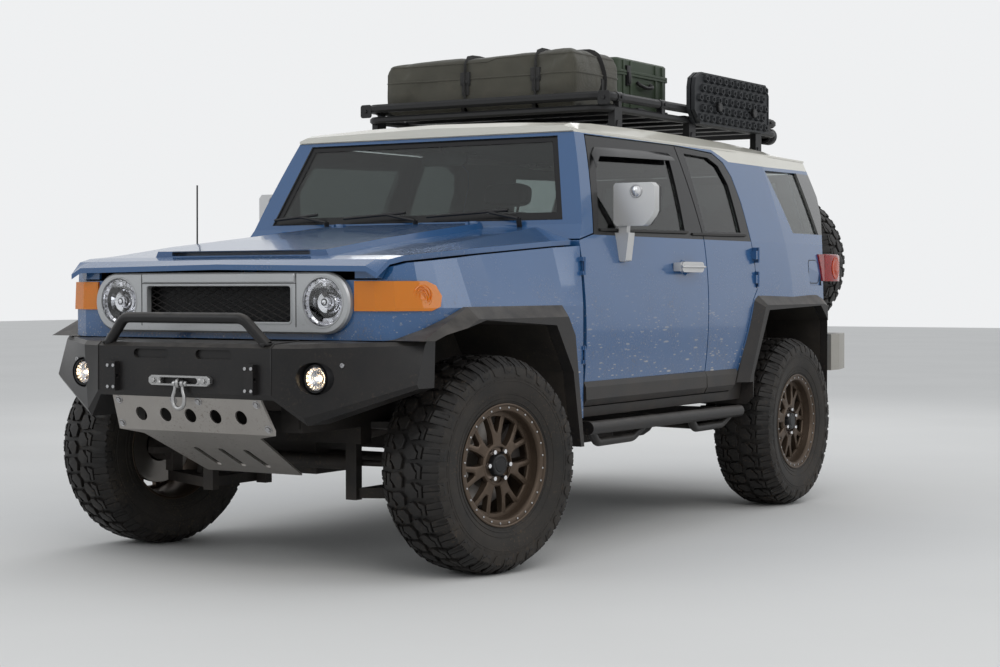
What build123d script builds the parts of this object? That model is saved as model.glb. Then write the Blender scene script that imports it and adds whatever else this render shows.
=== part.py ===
from build123d import *
import os
from math import cos, radians, sin, sqrt

# Lifted off-road 4x4. Millimetres, +Z up, origin on the ground below the middle of the overall box.
# The front of the vehicle points to -Y and its left side to +X.
# Lengths along the vehicle are given as d, the distance behind the front axle.

# Stance
WHEELBASE = 2690
TRACK_HALF = 825
FRONT_OVERHANG = 790
REAR_OVERHANG = 1120
STEER_AT_REST = 10.75
KINGPIN_X = 712

# Tyres and rims
TYRE_R = 411
TYRE_HALF = 146
TREAD_HALF = 138
LUGS = 18
LUG_SHARE = 0.6
LUG_DEPTH = 15
SHOULDER_DROP = 22
SIDEWALL_R = 335
BEAD_R = 217
BEAD_X = 118
RIM_SIDES = 36
RIM_BARREL_R = 214.5
RIM_WALL = 18
RIM_BACK = 110
RIM_LIP_R = 230
RIM_LIP_X = 128
RIM_LIP = 6.3
SPOKES = 7
SPOKE_FRONT = 84
SPOKE_THICK = 26
HUB_R = 74
CAP_R = 40
CAP_X = 108
DISC_R = 160
DISC_X = -2
DISC_THICK = 24
HUB_BACK = 10

# Cabin
SILL_Z = 545
BELT_Z = 1300
EAVE_Z = 1731
DOOR_BASE_Z = 592
DOOR_WALL = 62
FRAME_WALL = 36
FIREWALL_D = 660
REAR_FACE_D = WHEELBASE + 762
GLASS_OUT = 12
GLASS_IN = 18
SHUT = 6
FIT = 0.3

DOOR_SPLIT = 8
CLAD_Z = 690
CLAD_X = 908
HANDLE_X = 916
HANDLE_Z = 1162
HANDLE_HIGH = 46
HANDLE_THICK = 16
MIRROR_D = 985
LINER_X = 600
REAR_STEP_D = 2230

# Hinges
DOOR_HINGE_X = 903
FRONT_DOOR_D = 650
REAR_DOOR_END_D = WHEELBASE - 350
HOOD_END_D = 676
HOOD_SHEET = 20
HOOD_HINGE_X = 350
HOOD_HINGE_Z = 1344
TAILGATE_HALF = 694
TAILGATE_BASE_Z = 690

# Nose
NOSE_D = -540
FENDER_END_D = 641
FENDER_WALL = 12

GRILLE_HALF = 616
GRILLE_HIGH = 226
GRILLE_Z = 1019
GRILLE_DEEP = 26
MESH_HALF = 350
MESH_HIGH = 136
MESH_Z = 1014
MESH_ROWS = 5
MESH_COLUMNS = 12
MESH_PITCH_X = 56
MESH_PITCH_Z = 26
LAMP_X = 494
LAMP_Z = 1022
LAMP_R = 95
FOG_X = 557
FOG_Z = 751
FOG_R = 44
FOG_D = -660
SCOOP_D = -432
SCOOP_HALF = 338
PAD_UP = 22
BUMPER_FLAT = 415
HOOP_X = 380
RECOVERY_X = 330
RECOVERY_R = 8
LINER_FRONT_X = 440
APRON_X = 598.5
APRON_Z = 970
BODY_SIDE_X = 900
FLARE_OUT = 45

# Roof, rack and load
ROOF_FRONT_D = 872
ROOF_SHEET = 30
RACK_HALF = 640
RACK_FRONT_D = 1290
RACK_REAR_D = 3150
RACK_Z = 1916
RACK_LOW_Z = 1862
RACK_FLOOR_Z = 1884
RACK_SLATS = 8
BAG_FRONT_D = 1325
BAG_REAR_D = 1745
BAG_Z = RACK_FLOOR_Z + FIT
CASE_FRONT_D = 1766
CASE_REAR_D = 2290
CASE_HALF = 450
CASE_TOP_Z = 2150
BOARD_X = RACK_HALF + 19 + FIT
BOARD_THICK = 40
BOARD_FRONT_D = 2055
BOARD_REAR_D = 2911
BOARD_LOW_Z = 1845
BOARD_TOP_Z = 2093
BOARD_PITCH = 56
BOARD_COLUMNS = 14
BOARD_ROWS = 4

# Chassis
RAIL_IN = 330
RAIL_OUT = 420
ARM_LOW_Z = 308
ARM_HIGH_Z = 538
COIL_X = 560
COIL_TOP_X = 520
COIL_TOP_Z = 650
COIL_TURNS = 6
SPRING_X = 485
TIE_END_X = 606
SLIDER_X = 930
RECEIVER = 51
RECEIVER_DEEP = 130
RECEIVER_PIN_IN = 64
RECEIVER_PIN_R = 8

# Inside and small parts
COWL_D = 700
ANTENNA_X = 838
DASH_HALF = 780
WHEEL_X = 370

# Spare wheel on the tailgate
SPARE_X = 370
SPARE_Z = 1200

FRONT_AXLE_Y = FRONT_OVERHANG - (FRONT_OVERHANG + WHEELBASE + REAR_OVERHANG) / 2
LUG_PITCH = 360 / LUGS
AXLE_Z = TYRE_R * cos(radians(LUG_PITCH * (1 - LUG_SHARE) / 2))
SPARE_D = WHEELBASE + REAR_OVERHANG - TYRE_HALF


def along(d):
    """World Y of a point that lies d behind the front axle."""
    return FRONT_AXLE_Y + d


def side_prism(points, x0, x1, grow=0):
    """Solid from x0 to x1 with an outline of (d, height) points."""
    with BuildPart() as prism:
        with BuildSketch(Plane.YZ.offset(x0)):
            with BuildLine():
                Polyline(*[(along(d), z) for d, z in points], close=True)
            make_face()
            if grow:
                offset(amount=grow, kind=Kind.INTERSECTION)
        extrude(amount=x1 - x0)
    return prism.part


def front_prism(points, d0, d1, grow=0):
    """Solid from d0 to d1 with an outline of (x, height) points."""
    with BuildPart() as prism:
        with BuildSketch(Plane.XZ.offset(-along(d1))):
            with BuildLine():
                Polyline(*points, close=True)
            make_face()
            if grow:
                offset(amount=grow, kind=Kind.INTERSECTION)
        extrude(amount=d1 - d0)
    return prism.part


def plan_prism(points, z0, z1):
    """Solid from z0 to z1 with an outline of (x, d) points."""
    with BuildPart() as prism:
        with BuildSketch(Plane.XY.offset(z0)):
            with BuildLine():
                Polyline(*[(x, along(d)) for x, d in points], close=True)
            make_face()
        extrude(amount=z1 - z0)
    return prism.part


def block(x0, x1, d0, d1, z0, z1):
    """Plain box between two corners."""
    return plan_prism([(x0, d0), (x1, d0), (x1, d1), (x0, d1)], z0, z1)


def both_sides(part):
    """The part and its mirror image across the vehicle's middle."""
    with BuildPart() as pair:
        add(part)
        mirror(about=Plane.YZ)
    return pair.part


def tube(points, diameter, bend):
    """Round bar along (x, d, z) points with bends of one radius."""
    route = [(x, along(d), z) for x, d, z in points]
    with BuildPart() as bar:
        with BuildLine() as path:
            if len(route) > 2:
                FilletPolyline(*route, radius=bend)
            else:
                Line(*route)
        with BuildSketch(Plane(origin=path.line @ 0, z_dir=path.line % 0)):
            Circle(diameter / 2)
        sweep()
    return bar.part


def save(builder, label):
    """Labels a finished piece and writes it."""
    builder.part.label = label
    export_step(builder.part, "parts/" + label + ".step")


def polar(radius, angle):
    return (radius * cos(radians(angle)), radius * sin(radians(angle)))


# Wheels. A tyre is two staggered halves, and each half is a ring of lugs over a faceted sidewall.

def lug_edges(phase):
    """Start and end angle of each lug, counted from straight down."""
    half = LUG_PITCH * LUG_SHARE / 2
    return [(-90 + phase + k * LUG_PITCH - half, -90 + phase + k * LUG_PITCH + half) for k in range(LUGS)]


def lug_ring(radius, phase):
    """Outline with a raised flat for each lug and a lower flat between lugs."""
    floor = radius - LUG_DEPTH
    points = []
    for start, end in lug_edges(phase):
        points += [polar(floor, start), polar(radius, start), polar(radius, end), polar(floor, end)]
    return points


def plain_ring(radius, phase):
    """Outline with a corner wherever a lug starts or ends."""
    return [polar(radius, angle) for pair in lug_edges(phase) for angle in pair]


def tyre_half(phase):
    """Half of a tyre from its middle plane out along +X."""
    shoulder = TYRE_R - SHOULDER_DROP
    with BuildPart() as half:
        for ring_x, radius in ((0, TYRE_R), (TREAD_HALF - 30, TYRE_R), (TREAD_HALF, shoulder)):
            with BuildSketch(Plane.YZ.offset(ring_x)):
                Polygon(*lug_ring(radius, phase), align=None)
        loft(ruled=True)
        for ring_x, radius in ((TREAD_HALF, shoulder - LUG_DEPTH), (TYRE_HALF, SIDEWALL_R)):
            with BuildSketch(Plane.YZ.offset(ring_x)):
                Polygon(*plain_ring(radius, phase), align=None)
        loft(ruled=True)
        for ring_x, radius in ((BEAD_X, BEAD_R), (TYRE_HALF, SIDEWALL_R)):
            with BuildSketch(Plane.YZ.offset(ring_x)):
                Polygon(*plain_ring(radius, phase), align=None)
        loft(ruled=True, mode=Mode.SUBTRACT)
        with BuildSketch(Plane.YZ):
            Polygon(*plain_ring(BEAD_R, phase), align=None)
        extrude(amount=BEAD_X, mode=Mode.SUBTRACT)
    return half.part


def tyre_solid():
    """Tyre around the X axis, its outer side toward +X."""
    with BuildPart() as tyre:
        add(tyre_half(0))
        mirror(tyre_half(LUG_PITCH / 2), about=Plane.YZ)
    return tyre.part


# Half of a split spoke: across the spoke, out from the hub.
SPOKE_OUTLINE = ((24, 50), (19, 106), (45, 202), (26, 205), (0, 124))


def rim_solid(with_disc):
    """Rim around the X axis with split spokes, hub, cap and, on a road wheel, its brake disc."""
    outline = list(SPOKE_OUTLINE) + [(-x, y) for x, y in reversed(SPOKE_OUTLINE[:-1])]
    with BuildPart() as rim:
        with BuildSketch(Plane.YZ.offset(-RIM_BACK)):
            RegularPolygon(RIM_BARREL_R, RIM_SIDES)
        extrude(amount=RIM_BACK + RIM_LIP_X)
        with BuildSketch(Plane.YZ.offset(RIM_LIP_X - RIM_LIP)):
            RegularPolygon(RIM_LIP_R, RIM_SIDES)
        extrude(amount=RIM_LIP)
        with BuildSketch(Plane.YZ.offset(-RIM_BACK)):
            RegularPolygon(RIM_BARREL_R - RIM_WALL, RIM_SIDES)
        extrude(amount=RIM_BACK + SPOKE_FRONT, mode=Mode.SUBTRACT)
        for ring_x, radius in ((SPOKE_FRONT, RIM_BARREL_R - RIM_WALL), (RIM_LIP_X, RIM_BARREL_R)):
            with BuildSketch(Plane.YZ.offset(ring_x)):
                RegularPolygon(radius, RIM_SIDES)
        loft(ruled=True, mode=Mode.SUBTRACT)
        with BuildSketch(Plane.YZ.offset(SPOKE_FRONT - SPOKE_THICK)):
            with PolarLocations(0, SPOKES):
                Polygon(*[(y, x) for x, y in outline], align=None)
        extrude(amount=SPOKE_THICK)
        with BuildSketch(Plane.YZ.offset(HUB_BACK)):
            RegularPolygon(HUB_R, RIM_SIDES // 2)
        extrude(amount=SPOKE_FRONT - HUB_BACK)
        with BuildSketch(Plane.YZ.offset(SPOKE_FRONT)):
            RegularPolygon(CAP_R, RIM_SIDES // 2)
        extrude(amount=CAP_X - SPOKE_FRONT, taper=12)
        if with_disc:
            with BuildSketch(Plane.YZ.offset(DISC_X - DISC_THICK / 2)):
                RegularPolygon(DISC_R, RIM_SIDES)
            extrude(amount=DISC_THICK)
    return rim.part


def wheel_location(front, side):
    """Place of a wheel made around the X axis. The front pair is turned with the steering."""
    d = 0 if front else WHEELBASE
    turn = (0 if side > 0 else 180) - (STEER_AT_REST if front else 0)
    if not front:
        return Location((side * TRACK_HALF, along(d), AXLE_Z), (0, 0, turn))
    arm = TRACK_HALF - KINGPIN_X
    x = side * (KINGPIN_X + arm * cos(radians(STEER_AT_REST)))
    y = along(d) - side * arm * sin(radians(STEER_AT_REST))
    return Location((x, y, AXLE_Z), (0, 0, turn))


os.makedirs("parts", exist_ok=True)

road_rim = rim_solid(True)
tyre_shape = tyre_solid()
for front, place in ((True, "front"), (False, "rear")):
    for side, hand in ((1, "left"), (-1, "right")):
        with BuildPart() as tyre:
            add(tyre_shape.moved(wheel_location(front, side)))
        save(tyre, "tyre_" + place + "_" + hand)
        with BuildPart() as rim:
            add(road_rim.moved(wheel_location(front, side)))
        save(rim, "rim_" + place + "_" + hand)

spare_place = Location((SPARE_X, along(SPARE_D), SPARE_Z), (0, 0, 90))
with BuildPart() as spare_tyre:
    add(tyre_shape.moved(spare_place))
save(spare_tyre, "spare_tyre")
with BuildPart() as spare_rim:
    add(rim_solid(False).moved(spare_place))
save(spare_rim, "spare_rim")


# Cabin. The outer form is a loft of front views, trimmed from the side and from above.

WINDSHIELD_FOOT = (711, 1333)
WINDSHIELD_LEAN = 0.424
COWL_Z = 1262
MID_Z = 930
GLASS_MID_Z = 1513

# d, then the half width at the sill, middle, belt, glass and eave
CABIN_STATIONS = (
    (FIREWALL_D - 60, 874, 903, 864, 798, 718),
    (WHEELBASE - 350, 874, 903, 864, 798, 718),
    (WHEELBASE + 60, 874, 912, 864, 797, 716),
    (REAR_FACE_D + 20, 874, 893, 838, 757, 668),
)


def cabin_block(inset, top=EAVE_Z):
    """Solid of the cabin's outer form, each wall moved inward by the inset."""
    lean_top = WINDSHIELD_FOOT[0] + WINDSHIELD_LEAN * (top - WINDSHIELD_FOOT[1])
    rear = REAR_FACE_D - inset
    foot = SILL_Z - max(inset, 0)
    belt = BELT_Z - 10
    with BuildPart() as form:
        for d, *widths in CABIN_STATIONS:
            sill, middle, shoulder, glass, eave = [width - inset for width in widths]
            with BuildSketch(Plane.XZ.offset(-along(d))):
                with BuildLine():
                    for s in (1, -1):
                        ThreePointArc((s * sill, foot), (s * middle, MID_Z), (s * shoulder, belt))
                        ThreePointArc((s * shoulder, belt), (s * glass, GLASS_MID_Z), (s * eave, EAVE_Z))
                    Line((eave, EAVE_Z), (-eave, EAVE_Z))
                    Line((sill, foot), (-sill, foot))
                make_face()
        loft(ruled=True)
        with BuildSketch(Plane.YZ):
            with BuildLine():
                Polyline(
                    (along(rear - 30), top),
                    (along(lean_top + inset), top),
                    (along(WINDSHIELD_FOOT[0] + inset), WINDSHIELD_FOOT[1]),
                    (along(FIREWALL_D + inset), COWL_Z),
                    (along(FIREWALL_D + inset), foot),
                    (along(rear - 22), foot),
                )
                ThreePointArc((along(rear - 22), foot), (along(rear), 1000), (along(rear - 30), top))
            make_face()
        extrude(amount=REAR_FACE_D, both=True, mode=Mode.INTERSECT)
        with BuildSketch(Plane.XY.offset(foot)):
            with BuildLine():
                Polyline(
                    (0, along(REAR_FACE_D + 10 - inset)),
                    (0, along(FIREWALL_D)),
                    (930 - inset, along(FIREWALL_D)),
                    (930 - inset, along(REAR_FACE_D - 330)),
                    (893 - inset, along(REAR_FACE_D - 280)),
                    (788 - inset, along(REAR_FACE_D - 60 - 0.4 * inset)),
                    (730 - inset, along(REAR_FACE_D + 2 - inset)),
                    close=True,
                )
            make_face()
            mirror(about=Plane.YZ)
        extrude(amount=top - foot, mode=Mode.INTERSECT)
    return form.part


# Outlines seen from the side, as (d, height)
FRONT_DOOR = (
    (FRONT_DOOR_D, DOOR_BASE_Z),
    (1764, DOOR_BASE_Z),
    (1822, BELT_Z),
    (1797, 1719),
    (963, 1715),
    (792, 1292),
    (FRONT_DOOR_D, COWL_Z),
)
REAR_DOOR = (
    (1764 + DOOR_SPLIT, DOOR_BASE_Z),
    (REAR_DOOR_END_D - 290, DOOR_BASE_Z),
    (REAR_DOOR_END_D - 222, 686),
    (REAR_DOOR_END_D - 54, 1010),
    (REAR_DOOR_END_D, 1062),
    (REAR_DOOR_END_D, 1480),
    (REAR_DOOR_END_D - 18, 1600),
    (REAR_DOOR_END_D - 60, 1665),
    (REAR_DOOR_END_D - 150, 1706),
    (1797 + DOOR_SPLIT, 1719),
    (1822 + DOOR_SPLIT, BELT_Z),
)
FRONT_WINDOW = ((838, 1318), (1650, 1326), (1704, 1668), (1006, 1655))
REAR_WINDOW = (
    (1860, 1328),
    (REAR_DOOR_END_D - 92, 1330),
    (REAR_DOOR_END_D - 84, 1560),
    (REAR_DOOR_END_D - 130, 1650),
    (REAR_DOOR_END_D - 215, 1684),
    (1878, 1690),
)
QUARTER_WINDOW = (
    (WHEELBASE + 204, 1343),
    (REAR_FACE_D - 190, 1343),
    (REAR_FACE_D - 212, 1664),
    (WHEELBASE + 74, 1655),
)
ROOF_EDGE = (
    (FIREWALL_D, EAVE_Z - 5),
    (REAR_DOOR_END_D - 140, EAVE_Z - 5),
    (REAR_DOOR_END_D + 10, 1676),
    (REAR_DOOR_END_D + 450, 1674),
    (REAR_FACE_D + 100, 1686),
)
FRONT_ARCH = (
    (-566, 380),
    (-548, 858),
    (-400, 905),
    (-165, 954),
    (350, 926),
    (480, 740),
    (552, 380),
)
REAR_ARCH = (
    (WHEELBASE - 500, 520),
    (WHEELBASE - 487, 662),
    (WHEELBASE - 310, 962),
    (WHEELBASE + 330, 978),
    (WHEELBASE + 425, 900),
    (WHEELBASE + 432, 380),
    (WHEELBASE - 500, 380),
)
FUEL_FLAP = (
    (WHEELBASE + 308, 1079),
    (WHEELBASE + 469, 1079),
    (WHEELBASE + 469, 1220),
    (WHEELBASE + 308, 1220),
)
TAIL_LAMP = (
    (REAR_FACE_D - 287, 1103),
    (REAR_FACE_D - 36, 1103),
    (REAR_FACE_D - 36, 1240),
    (REAR_FACE_D - 287, 1240),
)
# The lamp's housing stands out around the rear corner. Its plan is (x, d).
TAIL_LAMP_SPAN = (1106, 1237)
TAIL_LAMP_PLAN = (
    (800, REAR_FACE_D - 190),
    (868, REAR_FACE_D - 190),
    (874, REAR_FACE_D - 140),
    (876, REAR_FACE_D - 62),
    (866, REAR_FACE_D - 6),
    (835, REAR_FACE_D + 28),
    (785, REAR_FACE_D + 38),
    (742, REAR_FACE_D + 26),
    (742, REAR_FACE_D - 60),
)

# Outlines seen from the front or rear, as (x, height)
WINDSHIELD = ((-757, 1352), (757, 1352), (645, 1712), (-645, 1712))
TAILGATE = (
    (-TAILGATE_HALF, TAILGATE_BASE_Z),
    (TAILGATE_HALF, TAILGATE_BASE_Z),
    (TAILGATE_HALF, BELT_Z),
    (590, 1668),
    (-590, 1668),
    (-TAILGATE_HALF, BELT_Z),
)
REAR_GLASS = ((-590, 1345), (590, 1345), (520, 1625), (-520, 1625))

FAR = 2 * WHEELBASE
cabin_outer = cabin_block(0)
with BuildPart() as hollow_low:
    add(cabin_block(DOOR_WALL))
    add(block(-FAR, FAR, -FAR, FAR, BELT_Z, FAR), mode=Mode.SUBTRACT)
with BuildPart() as hollow_high:
    add(cabin_block(FRAME_WALL, EAVE_Z + FIT))
    add(block(-FAR, FAR, -FAR, FAR, 0, BELT_Z), mode=Mode.SUBTRACT)
with BuildPart() as cabin_wall:
    add(cabin_outer)
    add(hollow_low.part, mode=Mode.SUBTRACT)
    add(hollow_high.part, mode=Mode.SUBTRACT)
with BuildPart() as glass_layer:
    add(cabin_block(GLASS_OUT))
    add(cabin_block(GLASS_IN, EAVE_Z + FIT), mode=Mode.SUBTRACT)


def glass_pane(prism):
    """Pane of the glass layer inside a prism."""
    with BuildPart() as pane:
        add(glass_layer.part)
        add(prism, mode=Mode.INTERSECT)
    return pane.part


def hinge_round(hinge_d, table):
    """Round limit about an upright hinge line, from (height, radius) rows."""
    outline = [(0, table[0][0])] + [(radius, z) for z, radius in table] + [(0, table[-1][0])]
    with BuildPart() as limit:
        foot = (DOOR_HINGE_X, along(hinge_d), 0)
        with BuildSketch(Plane(origin=foot, x_dir=(1, 0, 0), z_dir=(0, -1, 0))):
            Polygon(*outline, align=None)
        revolve(axis=Axis(foot, (0, 0, 1)))
    return limit.part


CLAD_SECTION = (
    (860, DOOR_BASE_Z),
    (CLAD_X - 14, DOOR_BASE_Z),
    (CLAD_X, DOOR_BASE_Z + 26),
    (CLAD_X - 2, CLAD_Z - 22),
    (CLAD_X - 12, CLAD_Z),
    (860, CLAD_Z),
)


def cladding(d0, d1_low, d1_high):
    """Black bar with slanted faces along the foot of a door."""
    outline = ((d0, DOOR_BASE_Z), (d1_low, DOOR_BASE_Z), (d1_high, CLAD_Z), (d0, CLAD_Z))
    with BuildPart() as bar:
        add(side_prism(outline, 820, 940))
        add(front_prism(CLAD_SECTION, FIREWALL_D - 60, WHEELBASE), mode=Mode.INTERSECT)
    return bar.part


def handle(d0, d1):
    """Bar handle standing off the door on two feet."""
    with BuildPart() as bar:
        with BuildSketch(Plane.YZ.offset(HANDLE_X)):
            with Locations((along((d0 + d1) / 2), HANDLE_Z)):
                SlotOverall(d1 - d0, HANDLE_HIGH)
        extrude(amount=HANDLE_THICK)
        for d in (d0 + 22, d1 - 22):
            add(block(880, HANDLE_X + 1, d - 12, d + 12, HANDLE_Z - 14, HANDLE_Z + 14))
    return bar.part


# The firewall ends inside the doors: (d, height) span of it that the doors' outlines cross
DOOR_IN_X = 801
FIREWALL_SPAN = (FRONT_DOOR_D - 10, FIREWALL_D + DOOR_WALL + 1, 0, BELT_Z - 5)


def door(outline, window, hinge_d, limits, extras):
    """Door of the cabin wall, with its window cut and its edge rounded about the hinge."""
    with BuildPart() as panel:
        add(cabin_wall.part)
        add(side_prism(outline, 600, 1000), mode=Mode.INTERSECT)
        add(block(590, DOOR_IN_X, *FIREWALL_SPAN), mode=Mode.SUBTRACT)
        add(block(590, DOOR_IN_X, FIREWALL_D, FIREWALL_D + DOOR_WALL + 40, 0, BELT_Z - 5), mode=Mode.SUBTRACT)
        add(hinge_round(hinge_d, limits), mode=Mode.INTERSECT)
        add(side_prism(window, 600, 1000), mode=Mode.SUBTRACT)
        for extra in extras:
            add(extra)
    return panel.part


def hinge_radius(x, d, hinge_d):
    return sqrt((DOOR_HINGE_X - x) ** 2 + (d - hinge_d) ** 2)


# Hinges. An eye on the moving panel turns on a pin held by two ears.
EYE_R = 5.5
EYE_HIGH = 40
EAR_HIGH = 16
PIN_R = 2.5


def upright(x, d, radius, z0, z1):
    """Upright round bar."""
    with BuildPart() as bar:
        with BuildSketch(Plane.XY.offset(z0)):
            with Locations((x, along(d))):
                Circle(radius)
        extrude(amount=z1 - z0)
    return bar.part


def hinge_fixed(x, d, z, toward):
    """Two ears and the pin, on the side of the hinge that toward points to along the vehicle."""
    half = EYE_HIGH / 2 + FIT
    with BuildPart() as fixed:
        for low in (z - half - EAR_HIGH, z + half):
            add(upright(x, d, EYE_R, low, low + EAR_HIGH))
            add(block(x - 32, x, d, d + toward * 14, low, low + EAR_HIGH))
        add(upright(x, d, PIN_R, z - half - 1, z + half + 1))
    return fixed.part


def hinge_moving(x, d, z, toward):
    """The eye and its leaf."""
    with BuildPart() as moving:
        add(upright(x, d, EYE_R, z - EYE_HIGH / 2, z + EYE_HIGH / 2))
        add(block(x - 32, x, d, d + toward * 26, z - EYE_HIGH / 2, z + EYE_HIGH / 2))
        add(upright(x, d, PIN_R + FIT, z - EYE_HIGH, z + EYE_HIGH), mode=Mode.SUBTRACT)
    return moving.part


def hinge_room(x, d, z, high):
    """Room around a hinge for the part of it that the panel doesn't carry."""
    return upright(x, d, 18, z - high / 2 - FIT, z + high / 2 + FIT)


REAR_HINGE_D = REAR_DOOR_END_D + 4
FRONT_HINGE_D = FRONT_DOOR_D - 4
FRONT_LIMITS = (
    (DOOR_BASE_Z - 5, hinge_radius(880, 1764, FRONT_HINGE_D) + 14),
    (BELT_Z, hinge_radius(864, 1822, FRONT_HINGE_D)),
    (EAVE_Z, hinge_radius(718, 1797, FRONT_HINGE_D)),
)
REAR_LIMITS = (
    (DOOR_BASE_Z - 5, hinge_radius(880, 1764 + DOOR_SPLIT, REAR_HINGE_D) + 14),
    (BELT_Z, hinge_radius(864, 1822 + DOOR_SPLIT, REAR_HINGE_D)),
    (EAVE_Z, hinge_radius(718, 1797 + DOOR_SPLIT, REAR_HINGE_D)),
)
FRONT_HINGES_Z = (800, 1160)
REAR_HINGES_Z = (1110, 1225)
TAILGATE_HINGES_Z = (900, 1200)
TAILGATE_HINGE_X = -(TAILGATE_HALF + 6)
TAILGATE_HINGE_D = REAR_FACE_D + 6
front_door = door(FRONT_DOOR, FRONT_WINDOW, FRONT_HINGE_D, FRONT_LIMITS,
                  (cladding(FRONT_DOOR_D, 1764, 1772), handle(1470, 1690)))
rear_door = door(REAR_DOOR, REAR_WINDOW, REAR_HINGE_D, REAR_LIMITS,
                 (cladding(1774, REAR_DOOR_END_D - 290, REAR_DOOR_END_D - 230),))
DOORS = (
    (front_door, "door_front", FRONT_HINGE_D, FRONT_HINGES_Z, 1),
    (rear_door, "door_rear", REAR_HINGE_D, REAR_HINGES_Z, -1),
)
for shape, label, hinge_d, hinge_heights, toward in DOORS:
    with BuildPart() as door_left:
        add(shape)
        for z in hinge_heights:
            add(hinge_room(DOOR_HINGE_X, hinge_d, z, EYE_HIGH + 2 * EAR_HIGH + 10), mode=Mode.SUBTRACT)
        for z in hinge_heights:
            add(hinge_moving(DOOR_HINGE_X, hinge_d, z, toward))
    save(door_left, label + "_left")
    with BuildPart() as door_right:
        mirror(door_left.part, about=Plane.YZ)
    save(door_right, label + "_right")
for window, label in ((FRONT_WINDOW, "window_front"), (REAR_WINDOW, "window_rear")):
    pane = glass_pane(side_prism(window, 600, 1000, grow=-FIT))
    with BuildPart() as pane_left:
        add(pane)
    save(pane_left, label + "_left")
    with BuildPart() as pane_right:
        mirror(pane, about=Plane.YZ)
    save(pane_right, label + "_right")

# Mirror: a deep housing on a stalk that stands on the door. Its outline is (x, height).
MIRROR_FRONT = ((850, 1512), (1036, 1512), (1046, 1502), (1046, 1392), (1000, 1328), (850, 1328))
with BuildPart() as mirror_left:
    with BuildSketch(Plane.XZ.offset(-along(MIRROR_D + 62))):
        with BuildLine():
            Polyline(*MIRROR_FRONT, close=True)
        make_face()
    extrude(amount=62, taper=6)
    add(plan_prism(((873, 975), (919, 975), (919, 1030), (873, 1030)), 1192, 1350))
    with BuildSketch(Plane.XZ.offset(-along(MIRROR_D + 62))):
        Polygon((900, 1180), (925, 1235), (925, 1260), (868, 1260), (878, 1180), align=None)
    extrude(amount=74)
    add(cabin_outer.moved(Location((FIT, 0, 0))), mode=Mode.SUBTRACT)
save(mirror_left, "mirror_left")
with BuildPart() as mirror_right:
    mirror(mirror_left.part, about=Plane.YZ)
save(mirror_right, "mirror_right")

# Tailgate with the window frame and the carrier that the spare rim is bolted to.
SPARE_HUB_D = SPARE_D + HUB_BACK
with BuildPart() as tailgate:
    add(cabin_wall.part)
    add(front_prism(TAILGATE, REAR_FACE_D - 200, REAR_FACE_D + 60), mode=Mode.INTERSECT)
    add(front_prism(REAR_GLASS, REAR_FACE_D - 200, REAR_FACE_D + 60), mode=Mode.SUBTRACT)
    with BuildSketch(Plane.XZ.offset(-along(SPARE_HUB_D - FIT))):
        with Locations((SPARE_X, SPARE_Z)):
            Circle(HUB_R - 4)
    extrude(amount=SPARE_HUB_D - REAR_FACE_D + 30)
    add(block(650, 668, REAR_FACE_D - 20, REAR_FACE_D + 34, 1010, 1190))
    for z in TAILGATE_HINGES_Z:
        add(upright(TAILGATE_HINGE_X, TAILGATE_HINGE_D, EYE_R, z - EYE_HIGH / 2, z + EYE_HIGH / 2))
        add(block(TAILGATE_HINGE_X, 24 - TAILGATE_HALF, REAR_FACE_D - 8, TAILGATE_HINGE_D + EYE_R - 2,
                  z - EYE_HIGH / 2, z + EYE_HIGH / 2))
        add(upright(TAILGATE_HINGE_X, TAILGATE_HINGE_D, PIN_R + FIT, z - EYE_HIGH, z + EYE_HIGH),
            mode=Mode.SUBTRACT)
save(tailgate, "tailgate")
with BuildPart() as tailgate_window:
    add(glass_pane(front_prism(REAR_GLASS, REAR_FACE_D - 200, REAR_FACE_D + 60, grow=-FIT)))
save(tailgate_window, "tailgate_window")
with BuildPart() as fixed_windows:
    add(glass_pane(front_prism(WINDSHIELD, FIREWALL_D, 1000, grow=-FIT)))
    add(both_sides(glass_pane(side_prism(QUARTER_WINDOW, 600, 1000, grow=-FIT))))
save(fixed_windows, "fixed_windows")

# Tub: what is left of the wall, with floor, wheel openings and lamp pockets.
FLOOR = (
    (FIREWALL_D + 20, 640),
    (FIREWALL_D + 140, 590),
    (REAR_STEP_D, 590),
    (REAR_STEP_D + 40, 760),
    (REAR_FACE_D - 30, 760),
    (REAR_FACE_D - 30, 786),
    (REAR_STEP_D + 20, 786),
    (REAR_STEP_D - 20, 616),
    (FIREWALL_D + 150, 616),
    (FIREWALL_D + 20, 668),
)
above_roof_edge = side_prism(ROOF_EDGE + ((REAR_FACE_D + 100, FAR), (FIREWALL_D, FAR)), -FAR, FAR)
with BuildPart() as side_openings:
    for outline in (FRONT_DOOR, REAR_DOOR):
        add(side_prism(outline, 600, 1000, grow=SHUT))
    add(block(590, DOOR_IN_X - SHUT, *FIREWALL_SPAN), mode=Mode.SUBTRACT)
    add(side_prism(QUARTER_WINDOW, 600, 1000))
    add(side_prism(REAR_ARCH, LINER_X - 6 - FIT, 1000, grow=5 + FIT))
    mirror(about=Plane.YZ)
with BuildPart() as lamp_layer:
    add(cabin_block(-9))
    add(cabin_block(24), mode=Mode.SUBTRACT)
with BuildPart() as lamp_housing:
    add(plan_prism(TAIL_LAMP_PLAN, *TAIL_LAMP_SPAN))
    add(cabin_block(-FIT), mode=Mode.SUBTRACT)
with BuildPart() as tail_lamps:
    add(lamp_layer.part)
    add(both_sides(side_prism(TAIL_LAMP, 700, 1000)), mode=Mode.INTERSECT)
    add(both_sides(lamp_housing.part))
save(tail_lamps, "tail_lamps")
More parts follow.
